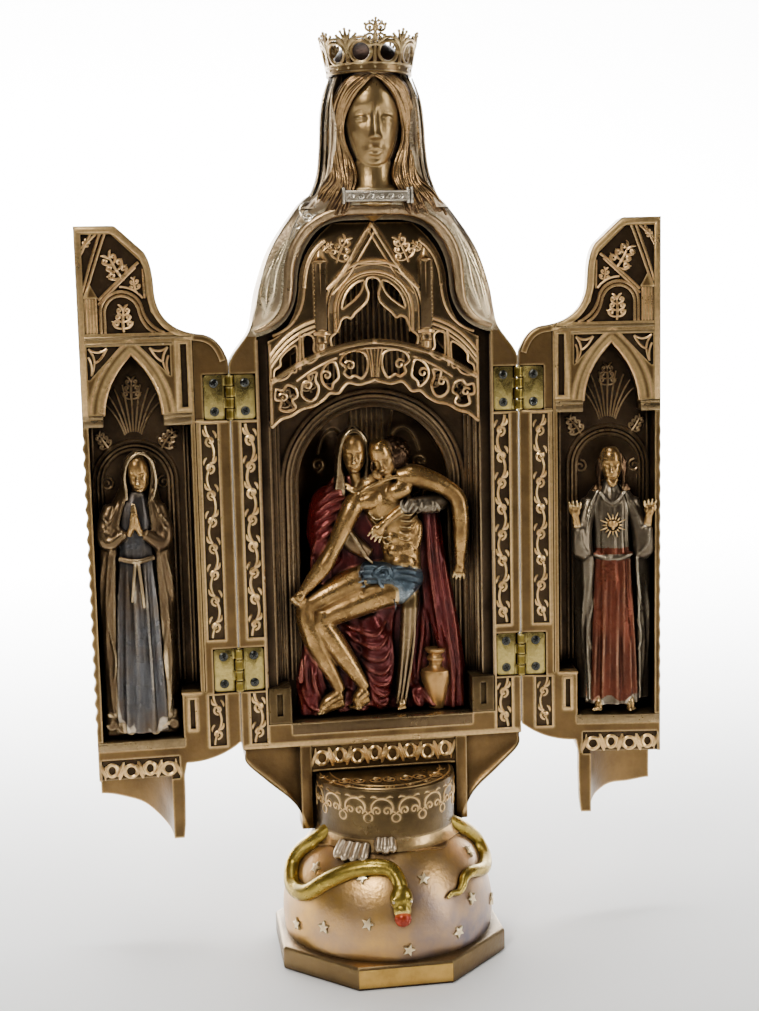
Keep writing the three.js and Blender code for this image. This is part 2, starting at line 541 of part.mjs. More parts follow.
// A round-headed moulding: centre x, half width, foot and spring heights.
function archBand(x, halfWidth, bottom, spring) {
  const shape = new THREE.Shape().moveTo(x + halfWidth, bottom).lineTo(x + halfWidth, spring);
  shape.absarc(x, spring, halfWidth, 0, Math.PI).lineTo(x - halfWidth, bottom);
  shape.lineTo(x - halfWidth + 1.8, bottom).lineTo(x - halfWidth + 1.8, spring);
  shape.absarc(x, spring, halfWidth - 1.8, Math.PI, 0, true).lineTo(x + halfWidth - 1.8, bottom);
  return shape;
}

function doorLeaf(lift) {
  const bulk = doorBulk().intersect(plate(doorOutline(), -1, 50, 3));
  const whole = join(bulk, doorSkirt(lift), doorSleeve());
  const deep = hingeLeaf.front + hingeLeaf.thick + gap - hinge.y;
  const half = hinge.height / 2 + gap;
  const recess = [hinge.upperZ, hinge.lowerZ].map((z) =>
    block(-1, hinge.leaf + gap, -1, deep, z - half, z + half));
  const under = solid(new THREE.CylinderGeometry(shell.inner, shell.inner, 30, 28).rotateX(Math.PI / 2)
    .translate(hinge.x, 0, 47.4));
  return join(cut(whole, doorNiche(), doorPanels(), recess, under), doorTrim());
}

// ---- door figures ----
function onDoor(body, proud) {
  const back = door.nicheDepth - 1.5;
  const free = [
    block(0, door.width, -proud, door.face - gap, door.floor + 3.6, 174),
    block(12.6 + gap, 44.6 - gap, -proud, back, 90 + gap, 174),
    block(18.6 + gap, 44.6 - gap, -proud, back, door.floor + 3.6, 92),
    block(18.6 + gap, 44.6 - gap, door.face + gap, back, door.floor + gap, door.floor + 3.7),
  ];
  return body.intersect(join(free));
}

function prayingMadonna() {
  const folds = (angle, z) => 1 + (z < 140 ? 0.07 : 0.02) * Math.cos(6 * angle);
  const gown = stack([[83, 31, 4, 8.6, 5.6], [120, 31.4, 4, 7.6, 5.2], [138, 31.4, 4.2, 6.6, 4.8],
    [152, 31.2, 4.6, 7.4, 4.2], [157, 30.6, 5, 3, 3]], 12, folds);
  const mantleBack = stack([[83.6, 31.4, 7, 11.8, 3], [118, 31.6, 7, 13, 3.2], [136, 31.6, 7, 11.8, 3.2],
    [148, 31.4, 6.6, 9.6, 3.6], [155, 30.2, 6, 5.8, 4.2], [163, 29.4, 5.4, 5.2, 4.6],
    [167.6, 29, 5.6, 2.6, 2.8]], 8);
  const arms = [
    limb([[23.4, 4, 150], [20.6, 2.2, 141], [31.4, -1.6, 146]], [3, 3.4, 1.3], 5, 3),
    limb([[39.4, 4, 150.6], [42, 2.2, 142.6], [31.8, -1.6, 146]], [3, 3.4, 1.3], 5, 3),
    limb([[31.6, -1.6, 143.6], [31.7, -1.8, 151.4]], [1.5, 0.7], 4, 1),
  ];
  const clouds = [[22.4, 2.8], [28, 3.4], [34, 3.4], [39.8, 2.8]].map(([x, r]) =>
    ball([x, 5, 80.4], [r + 1, 5, r + 1], 6, 4));
  const face = ball([29.6, 2.2, 160.2], [3.9, 3.8, 5], 6, 5);
  const hem = block(20, 43, 3, 10, 76, 84);
  return onDoor(join(gown, mantleBack, arms, clouds, face, hem), 3);
}

function sacredHeartFigure() {
  const folds = (angle, z) => 1 + (z < 130 ? 0.06 : 0.02) * Math.cos(6 * angle);
  const robe = stack([[77, 31, 4.2, 9.8, 5.6], [115, 30.8, 4, 7.6, 5.2], [130, 30.8, 4, 6.4, 4.8],
    [146, 30.2, 4.4, 7, 4.4], [152, 30.4, 5, 3.4, 3.2]], 12, folds);
  const mantleBack = stack([[81, 32, 7.2, 11.6, 3], [120, 31.4, 7.2, 12.9, 3.2], [136, 31, 7, 12, 3.2],
    [147, 30.2, 6.8, 9.6, 3.6], [153, 30.4, 6.2, 5.6, 4], [163.4, 30.7, 5.4, 3.2, 3.2]], 8);
  const arms = [[20.8, 23.4, 18.4], [41, 37.4, 42.5]].map(([elbow, shoulder, hand]) => limb(
    [[shoulder, 4.6, 146], [elbow, 3, 131], [hand, -0.2, 144], [hand, -0.4, 150]], [3, 3.6, 1.5, 1.1], 5, 4));
  const face = ball([30.7, 2.6, 158], [3.8, 4, 4.9], 6, 5);
  const heart = ball([30.6, -1, 139.6], [1.6, 1.2, 1.9], 4, 3);
  const feet = [24.6, 38].map((x) => ball([x, 2.6, 77.4], [2, 3.4, 1.4], 5, 3));
  return onDoor(join(robe, mantleBack, arms, face, heart, feet), 3);
}

// ---- hinges and screws, x from the hinge axis over the leaf ----
function hingeLeafPiece(z, firstKnuckle) {
  const { height, leaf, barrel } = hinge;
  const { thick, bore, knuckles, edge } = hingeLeaf;
  const front = hingeLeaf.front - hinge.y;
  const low = z - height / 2;
  const pitch = height / knuckles;
  // a knuckle with its web, seen along the pin
  const curl = new THREE.Shape().moveTo(edge + 0.1, front + thick).lineTo(0, front + thick);
  curl.lineTo(-barrel, 0.5).lineTo(-barrel, -0.5).lineTo(-0.5, -barrel).lineTo(0.5, -barrel);
  curl.lineTo(barrel, -0.5).lineTo(barrel * 0.8, front).lineTo(edge + 0.1, front);
  curl.holes.push(polygon([bore, bore], [-bore, bore], [-bore, -bore], [bore, -bore]));
  const parts = [block(edge, leaf, front, front + thick, low, low + height)];
  for (let k = firstKnuckle; k < knuckles; k += 2) {
    const knuckle = new THREE.ExtrudeGeometry(curl, { depth: pitch - gap, bevelEnabled: false });
    parts.push(solid(knuckle.translate(0, 0, low + k * pitch + gap / 2)));
  }
  return join(parts);
}

function hingePin(z) {
  const pin = new THREE.CylinderGeometry(hingeLeaf.pin, hingeLeaf.pin, hinge.height + 0.6, 5);
  return solid(pin.rotateX(Math.PI / 2).translate(0, 0, z));
}

function screwHead(z) {
  const { radius, distance, thick } = screw;
  const disc = new THREE.CylinderGeometry(radius, radius, thick, 5);
  return solid(disc.translate(distance, hingeLeaf.front - hinge.y - gap - thick / 2, z));
}

// ---- assembly ----
const triptych = new THREE.Group();
triptych.add(
  piece('globe_base', globeBase(), bronze),
  piece('shrine_body', shrineBody(), bronze),
  piece('crown', crown(), goldBronze),
  piece('tracery_screen', traceryScreen(), darkBronze),
  piece('pieta_group', pietaGroup(), tintedBronze),
);

const figures = {
  left: ['praying_madonna', prayingMadonna],
  right: ['sacred_heart_figure', sacredHeartFigure],
};
for (const side of ['left', 'right']) {
  const mirror = side === 'left';
  const turn = deg(openAngle[side]) * (mirror ? 1 : -1);
  const swing = new THREE.Group();
  swing.position.set(mirror ? -hinge.x : hinge.x, hinge.y, 0);
  swing.rotation.z = turn;
  const fixed = new THREE.Group();
  fixed.position.copy(swing.position);
  swing.add(piece(`${side}_door`, doorLeaf(hemLift[side]), bronze, mirror));
  swing.add(piece(figures[side][0], figures[side][1](), tintedBronze, mirror));
  for (const [level, z] of [['upper', hinge.upperZ], ['lower', hinge.lowerZ]]) {
    const name = `${side}_${level}_hinge`;
    swing.add(piece(`${name}_door_leaf`, hingeLeafPiece(z, 1), brass, mirror));
    fixed.add(piece(`${name}_body_leaf`, hingeLeafPiece(z, 0), brass, !mirror));
    fixed.add(piece(`${name}_pin`, hingePin(z), brass));
    for (const [place, offset] of [['top', screw.spread], ['bottom', -screw.spread]]) {
      swing.add(piece(`${name}_door_screw_${place}`, screwHead(z + offset), steel, mirror));
      fixed.add(piece(`${name}_body_screw_${place}`, screwHead(z + offset), steel, !mirror));
    }
  }
  triptych.add(swing, fixed);
}

export default triptych;
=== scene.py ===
import math
import bmesh
import bpy
import numpy as np
from mathutils import Matrix, Vector
from mathutils.bvhtree import BVHTree


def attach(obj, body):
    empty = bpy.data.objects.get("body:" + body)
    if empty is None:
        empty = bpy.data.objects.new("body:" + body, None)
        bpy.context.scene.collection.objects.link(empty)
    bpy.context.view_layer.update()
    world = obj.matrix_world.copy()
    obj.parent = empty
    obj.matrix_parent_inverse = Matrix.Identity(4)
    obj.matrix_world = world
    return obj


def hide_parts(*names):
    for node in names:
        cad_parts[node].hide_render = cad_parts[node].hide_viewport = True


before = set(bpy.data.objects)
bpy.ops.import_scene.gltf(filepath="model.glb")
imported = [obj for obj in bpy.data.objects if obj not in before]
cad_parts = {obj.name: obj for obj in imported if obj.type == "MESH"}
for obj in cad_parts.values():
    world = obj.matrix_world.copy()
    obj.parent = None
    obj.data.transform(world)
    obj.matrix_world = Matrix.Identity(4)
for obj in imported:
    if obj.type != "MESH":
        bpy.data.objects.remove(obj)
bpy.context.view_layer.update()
mm = 0.001
pi = math.pi
deg = math.radians
spread = np.random.default_rng(7)
hingeAxis = (47, -0.15, 0)  # of the right-hand door
mostTriangles = 190000  # in one piece


# small tools; shapes are drawn in millimetres
def deselectAll():
    bpy.ops.object.select_all(action="DESELECT")


def makeActive(piece):
    deselectAll()
    piece.select_set(True)
    bpy.context.view_layer.objects.active = piece
    return piece


def applyModifier(piece, kind, **values):
    modifier = piece.modifiers.new(kind.title(), kind)
    for name, value in values.items():
        setattr(modifier, name, value)
    makeActive(piece)
    bpy.ops.object.modifier_apply(modifier=modifier.name)
    return piece


def joinPieces(pieces, name):
    deselectAll()
    for piece in pieces:
        piece.select_set(True)
    bpy.context.view_layer.objects.active = pieces[0]
    if len(pieces) > 1:
        bpy.ops.object.join()
    pieces[0].name = name
    pieces[0].data.name = name
    return pieces[0]


def meshPiece(name, points, faces):
    mesh = bpy.data.meshes.new(name)
    mesh.from_pydata((np.asarray(points, float) * mm).tolist(), [], faces)
    mesh.update()
    piece = bpy.data.objects.new(name, mesh)
    bpy.context.collection.objects.link(piece)
    return piece


def turnOutward(piece, weld=0):
    shape = bmesh.new()
    shape.from_mesh(piece.data)
    if weld:
        bmesh.ops.remove_doubles(shape, verts=shape.verts, dist=weld * mm)
    bmesh.ops.recalc_face_normals(shape, faces=shape.faces)
    shape.to_mesh(piece.data)
    shape.free()
    return piece


def pointsOf(piece):
    co = np.empty(len(piece.data.vertices) * 3)
    piece.data.vertices.foreach_get("co", co)
    return co.reshape(-1, 3) / mm


def normalsOf(piece):
    out = np.empty(len(piece.data.vertices) * 3)
    piece.data.vertices.foreach_get("normal", out)
    return out.reshape(-1, 3)


def setPoints(piece, points):
    piece.data.vertices.foreach_set("co", (np.asarray(points) * mm).ravel())
    piece.data.update()
    return piece


def loft(name, rings):
    rings = np.asarray(rings, float)
    rows, sides, _ = rings.shape
    index = np.arange(rows * sides).reshape(rows, sides)
    turned = np.roll(index, -1, 1)
    quads = np.stack([index[:-1], turned[:-1], turned[1:], index[1:]], -1).reshape(-1, 4).tolist()
    quads += [index[0][::-1].tolist(), index[-1].tolist()]
    return turnOutward(meshPiece(name, rings.reshape(-1, 3), quads))


def rectangle(x0, x1, z0, z1):
    return [(x0, z0), (x1, z0), (x1, z1), (x0, z1)]


def turnedRings(profile, sides, x=0, y=0, deep=1):
    a = around(sides)
    return np.array([np.c_[x + r * np.sin(a), y - deep * r * np.cos(a), np.full(sides, z)] for r,
        z in profile])


# a turned ring with a bore: its profile closes on itself
def hollowTurned(name, profile, sides, x=0, y=0):
    rings = turnedRings(profile, sides, x, y)
    index = np.arange(sides * len(profile)).reshape(len(profile), sides)
    turned, up = np.roll(index, -1, 1), np.roll(index, -1, 0)
    quads = np.stack([index, turned, np.roll(up, -1, 1), up], -1).reshape(-1, 4).tolist()
    return turnOutward(meshPiece(name, rings.reshape(-1, 3), quads))


# a flat outline in x and z, carried from y0 back to y1
def prism(name, outline, y0, y1):
    outline = np.asarray(outline, float)
    n = len(outline)
    near = np.c_[outline[:, 0], np.full(n, y0), outline[:, 1]]
    far = np.c_[outline[:, 0], np.full(n, y1), outline[:, 1]]
    faces = [list(range(n)), list(range(2 * n - 1, n - 1, -1))]
    faces += [[i, n + i, n + (i + 1) % n, (i + 1) % n] for i in range(n)]
    return turnOutward(meshPiece(name, np.r_[near, far], faces))


# a cut-out plate with softened edges, from closed outlines; inner outlines are its openings
def plate(name, loops, y0, y1, soft=0.2):
    curve = bpy.data.curves.new(name, "CURVE")
    curve.dimensions = "2D"
    curve.fill_mode = "BOTH"
    curve.extrude = ((y1 - y0) / 2 - soft) * mm
    curve.bevel_depth = soft * mm
    curve.bevel_resolution = 1
    curve.offset = -soft * mm
    for loop in loops:
        spline = curve.splines.new("POLY")
        spline.points.add(len(loop) - 1)
        flat = np.zeros((len(loop), 4))
        flat[:, :2] = np.asarray(loop) * mm
        flat[:, 3] = 1
        spline.points.foreach_set("co", flat.ravel())
        spline.use_cyclic_u = True
    piece = bpy.data.objects.new(name, curve)
    bpy.context.collection.objects.link(piece)
    makeActive(piece)
    bpy.ops.object.convert(target="MESH")
    piece = bpy.context.view_layer.objects.active
    piece.data.transform(Matrix.Translation((0, (y0 + y1) / 2 * mm, 0)) @ Matrix.Rotation(pi / 2, 4, "X"))
    return turnOutward(piece, 0.01)


def block(name, x0, x1, y0, y1, z0, z1, soft=0.15):
    bpy.ops.mesh.primitive_cube_add(size=1)
    piece = bpy.context.object
    piece.name = name
    piece.data.transform(Matrix.Translation(Vector((x0 + x1, y0 + y1, z0 + z1)) * mm / 2)
        @ Matrix.Diagonal(((x1 - x0) * mm, (y1 - y0) * mm, (z1 - z0) * mm, 1)))
    if soft:
        applyModifier(piece, "BEVEL", width=soft * mm, segments=2)
    return piece


def cutAway(piece, *tools, operation="DIFFERENCE"):
    for tool in tools:
        applyModifier(piece, "BOOLEAN", operation=operation, solver="MANIFOLD", object=tool)
        bpy.data.objects.remove(tool)
    return piece


# a smooth line through points
def bendThrough(points, per=6, closed=False):
    p = np.asarray(points, float)
    if len(p) < 3:
        t = np.linspace(0, 1, per + 1)[:, None]
        return p[0] * (1 - t) + p[-1] * t
    if closed:
        padded = np.r_[p[-1:], p, p[:2]]
    else:
        padded = np.r_[2 * p[:1] - p[1:2], p, 2 * p[-1:] - p[-2:-1]]
    out = []
    for i in range(len(padded) - 3):
        a, b, c, d = padded[i:i + 4]
        t = (np.arange(per) / per)[:, None]
        out.append(0.5 * (2 * b + (c - a) * t + (2 * a - 5 * b + 4 * c - d) * t ** 2
            + (3 * b - a - 3 * c + d) * t ** 3))
    if not closed:
        out.append(p[-1:])
    return np.concatenate(out)


# a smooth line and its thickness, as strands takes them
def smooth(points, thick, per=6):
    return bendThrough(points, per), thick


def around(count):
    return np.linspace(0, 2 * pi, count, endpoint=False)


def arc(x, z, r, start, end, steps=24, rz=None):
    a = np.radians(np.linspace(start, end, steps))
    return np.c_[x + r * np.cos(a), z + (rz or r) * np.sin(a)]


def bow(start, middle, end, steps=10):
    t = np.linspace(0, 1, steps)[:, None]
    a, b, c = (np.asarray(p, float) for p in (start, middle, end))
    return (1 - t) ** 2 * a + 2 * t * (1 - t) * b + t ** 2 * c


def chain(*parts):
    return np.concatenate([np.atleast_2d(np.asarray(p, float)) for p in parts])


# a scroll that starts at a point and winds in to its eye
def curl(x, z, size, start, turn, hand=1, steps=16):
    t = np.linspace(0, 1, steps)
    a = np.radians(start + hand * turn * t)
    r = size * (1 - 0.82 * t)
    a0 = deg(start)
    return np.c_[x + r * np.cos(a) - size * math.cos(a0), z + r * np.sin(a) - size * math.sin(a0)]


def tapered(count, thick, ends=(0.35, 0.5)):
    t = np.linspace(0, 1, count)
    shape = np.minimum(1, np.minimum(ends[0] + t / 0.25 * (1 - ends[0]),
        ends[1] + (1 - t) / 0.35 * (1 - ends[1])))
    return thick * shape


# round strands along 3-D lines, each (points, radius or radii)
def strands(name, lines, sides=6):
    points, faces = [], []
    base = 0
    ring = np.arange(sides) / sides * 2 * pi
    cosine, sine = np.cos(ring)[:, None], np.sin(ring)[:, None]
    for line, radius in lines:
        line = np.asarray(line, float)
        n = len(line)
        radii = np.broadcast_to(np.asarray(radius, float), (n,))
        tangent = np.gradient(line, axis=0)
        tangent /= np.linalg.norm(tangent, axis=1)[:, None] + 1e-9
        side = np.cross(tangent[0], (0.3, 1, 0.17))
        side /= np.linalg.norm(side)
        rings = np.empty((n, sides, 3))
        for i in range(n):
            side = side - tangent[i] * side.dot(tangent[i])
            side /= np.linalg.norm(side) + 1e-12
            over = np.cross(tangent[i], side)
            rings[i] = line[i] + radii[i] * (cosine * side + sine * over)
        caps = np.array([line[0] - tangent[0] * radii[0] * 0.6, line[-1] + tangent[-1] * radii[-1] * 0.6])
        index = base + np.arange(n * sides).reshape(n, sides)
        turned = np.roll(index, -1, 1)
        faces += np.stack([index[:-1], turned[:-1], turned[1:], index[1:]], -1).reshape(-1, 4).tolist()
        first, last = base + n * sides, base + n * sides + 1
        faces += [[first, int(turned[0][k]), int(index[0][k])] for k in range(sides)]
        faces += [[last, int(index[-1][k]), int(turned[-1][k])] for k in range(sides)]
        points += [rings.reshape(-1, 3), caps]
        base += n * sides + 2
    return turnOutward(meshPiece(name, np.concatenate(points), faces))


# flat lines (x, z) set at one depth
def atDepth(lines, y):
    return [(np.c_[line[:, 0], np.full(len(line), y), line[:, 1]], r) for line, r in lines]


def surfaceOf(piece):
    bpy.context.view_layer.update()
    return BVHTree.FromObject(piece, bpy.context.evaluated_depsgraph_get())


# lines (x, z) laid on a surface as seen from the front, sunk by a share of their thickness
def laidOn(surface, lines, sink=0.3, start=-60, miss=0):
    out = []
    for line, r in lines:
        radii = np.broadcast_to(np.asarray(r, float), (len(line),))
        depth = []
        for (x, z), radius in zip(line, radii):
            hit = surface.ray_cast(Vector((x, start, z)) * mm, Vector((0, 1, 0)))[0]
            depth.append((hit.y / mm if hit else miss) + sink * radius)
        out.append((np.c_[line[:, 0], depth, line[:, 1]], r))
    return out


def spinOf(turn):
    return Matrix.Rotation(deg(turn[2]), 4, "Z") @ Matrix.Rotation(deg(turn[1]), 4,
        "Y") @ Matrix.Rotation(deg(turn[0]), 4, "X")


def ball(name, centre, radii, turn=(0, 0, 0), segments=24, rings=16):
    bpy.ops.mesh.primitive_uv_sphere_add(segments=segments, ring_count=rings, radius=1)
    piece = bpy.context.object
    piece.name = name
    spin = spinOf(turn)
    piece.data.transform(Matrix.Translation(Vector(centre) * mm) @ spin
        @ Matrix.Diagonal((radii[0] * mm, radii[1] * mm, radii[2] * mm, 1)))
    return piece


def bead(name, centre, size):
    return ball(name, centre, (size, size, size), segments=12, rings=8)


def limb(name, points, radii, sides=16, per=8):
    line = bendThrough(points, per)
    sizes = bendThrough(np.c_[radii, radii], per)[:, 0]
    return strands(name, [(line, np.maximum(sizes, 0.05))], sides)


# several closed shapes made one skin, as a modeller's clay would be
def fuse(pieces, name, grain=0.5, rounds=4, factor=0.5):
    piece = joinPieces(pieces, name)
    applyModifier(piece, "REMESH", mode="VOXEL", voxel_size=grain * mm)
    if rounds:
        applyModifier(piece, "SMOOTH", factor=factor, iterations=rounds)
    return piece


def smoothShade(piece, angle=40):
    makeActive(piece)
    bpy.ops.object.shade_smooth_by_angle(angle=deg(angle))
    return piece


# nodes of the finishes, with their values given by name
def addNode(tree, kind, **values):
    node = tree.nodes.new(kind)
    for name, value in values.items():
        if hasattr(node, name):
            setattr(node, name, value)
        else:
            node.inputs[name].default_value = value
    return node


def remap(tree, source, low, high, newLow=0, newHigh=1):
    node = addNode(tree, "ShaderNodeMapRange")
    node.inputs["From Min"].default_value = low
    node.inputs["From Max"].default_value = high
    node.inputs["To Min"].default_value = newLow
    node.inputs["To Max"].default_value = newHigh
    tree.links.new(source, node.inputs["Value"])
    return node.outputs["Result"]


def blendColors(tree, factor, first, second, mode="MIX"):
    node = addNode(tree, "ShaderNodeMix", data_type="RGBA", blend_type=mode)
    for socket, value in ((node.inputs[0], factor), (node.inputs[6], first), (node.inputs[7], second)):
        if isinstance(value, bpy.types.NodeSocket):
            tree.links.new(value, socket)
        else:
            socket.default_value = value
    return node.outputs[2]


def blendValues(tree, operation, first, second):
    node = addNode(tree, "ShaderNodeMath", operation=operation)
    for socket, value in zip(node.inputs, (first, second)):
        if isinstance(value, bpy.types.NodeSocket):
            tree.links.new(value, socket)
        else:
            socket.default_value = value
    return node.outputs[0]


def groupSockets(tree, inputs, outputs):
    for name, kind, value in inputs:
        socket = tree.interface.new_socket(name=name, in_out="INPUT", socket_type=kind)
        socket.default_value = value
    for name, kind in outputs:
        tree.interface.new_socket(name=name, in_out="OUTPUT", socket_type=kind)
    return tree.nodes.new("NodeGroupInput"), tree.nodes.new("NodeGroupOutput")


# old bronze: dark patina wash and painted shade in the hollows, rubbed metal on the edges, cloudy in
# between
def buildPatina():
    tree = bpy.data.node_groups.new("oldBronzePatina", "ShaderNodeTree")
    color, number = "NodeSocketColor", "NodeSocketFloat"
    source, result = groupSockets(tree, [("Rubbed", color, (0.8, 0.6, 0.36, 1)),
        ("Metal", color, (0.4, 0.25, 0.13, 1)), ("Cloud", color, (0.25, 0.16, 0.09, 1)),
        ("Wash", color, (0.03, 0.018, 0.01, 1)), ("Wash Reach", number, 0.004), ("Wash And Shade Low", number, 0.3),
        ("Wash High", number, 0.85), ("Edge Reach", number, 0.0008), ("Edge Wear", number, 0.8),
        ("Cloud Scale", number, 60), ("Rough", number, 0.36),], [("Color", color), ("Roughness", number),
        ("Height", number)])
    place = addNode(tree, "ShaderNodeTexCoord").outputs["Object"]
    clouds = addNode(tree, "ShaderNodeTexNoise", Detail=5, Roughness=0.62)
    tree.links.new(place, clouds.inputs["Vector"])
    tree.links.new(source.outputs["Cloud Scale"], clouds.inputs["Scale"])
    cloud = remap(tree, clouds.outputs["Fac"], 0.38, 0.66)
    grain = addNode(tree, "ShaderNodeTexNoise", Scale=900, Detail=3)
    tree.links.new(place, grain.inputs["Vector"])
    speck = remap(tree, grain.outputs["Fac"], 0.35, 0.65)
    # darkening in the hollows within the reach: patina wash and painted shade
    hollow = addNode(tree, "ShaderNodeAmbientOcclusion", samples=8)
    tree.links.new(source.outputs["Wash Reach"], hollow.inputs["Distance"])
    span = addNode(tree, "ShaderNodeMapRange")
    tree.links.new(hollow.outputs["AO"], span.inputs["Value"])
    tree.links.new(source.outputs["Wash And Shade Low"], span.inputs["From Min"])
    tree.links.new(source.outputs["Wash High"], span.inputs["From Max"])
    openness = span.outputs["Result"]
    edge = addNode(tree, "ShaderNodeAmbientOcclusion", samples=6, inside=True, only_local=True)
    tree.links.new(source.outputs["Edge Reach"], edge.inputs["Distance"])
    worn = remap(tree, edge.outputs["AO"], 0.92, 0.55)
    worn = blendValues(tree, "MULTIPLY", worn, source.outputs["Edge Wear"])
    worn = blendValues(tree, "MULTIPLY", worn, remap(tree, speck, 0, 1, 0.75, 1))
    worn = blendValues(tree, "MULTIPLY", worn, openness)
    metal = blendColors(tree, cloud, source.outputs["Metal"], source.outputs["Cloud"])
    metal = blendColors(tree, worn, metal, source.outputs["Rubbed"])
    # the hollows take the dark colour: patina wash and painted shade
    metal = blendColors(tree, openness, source.outputs["Wash"], metal)
    tree.links.new(metal, result.inputs["Color"])
    rough = blendValues(tree, "ADD", source.outputs["Rough"], remap(tree, cloud, 0, 1, -0.04, 0.08))
    rough = blendValues(tree, "ADD", rough, remap(tree, openness, 0, 1, 0.3, 0))
    rough = blendValues(tree, "SUBTRACT", rough, remap(tree, worn, 0, 1, 0, 0.08))
    tree.links.new(rough, result.inputs["Roughness"])
    tree.links.new(blendValues(tree, "ADD", speck, remap(tree, cloud, 0, 1, 0, 1.5)),
        result.inputs["Height"])
    return tree


patina = buildPatina()


def bronzeFinish(name, metallic=0.9, bump=0.12, **values):
    finish = bpy.data.materials.new(name)
    finish.use_nodes = True
    tree = finish.node_tree
    shader = tree.nodes["Principled BSDF"]
    shader.inputs["Metallic"].default_value = metallic
    layer = addNode(tree, "ShaderNodeGroup", node_tree=patina)
    for key, value in values.items():
        label = "".join(" " + c if c.isupper() else c for c in key).strip().title()
        layer.inputs[label].default_value = (*value, 1) if isinstance(value, tuple) else value
    raised = addNode(tree, "ShaderNodeBump", Strength=bump, Distance=0.0003)
    tree.links.new(layer.outputs["Height"], raised.inputs["Height"])
    tree.links.new(layer.outputs["Color"], shader.inputs["Base Color"])
    tree.links.new(layer.outputs["Roughness"], shader.inputs["Roughness"])
    tree.links.new(raised.outputs["Normal"], shader.inputs["Normal"])
    return finish
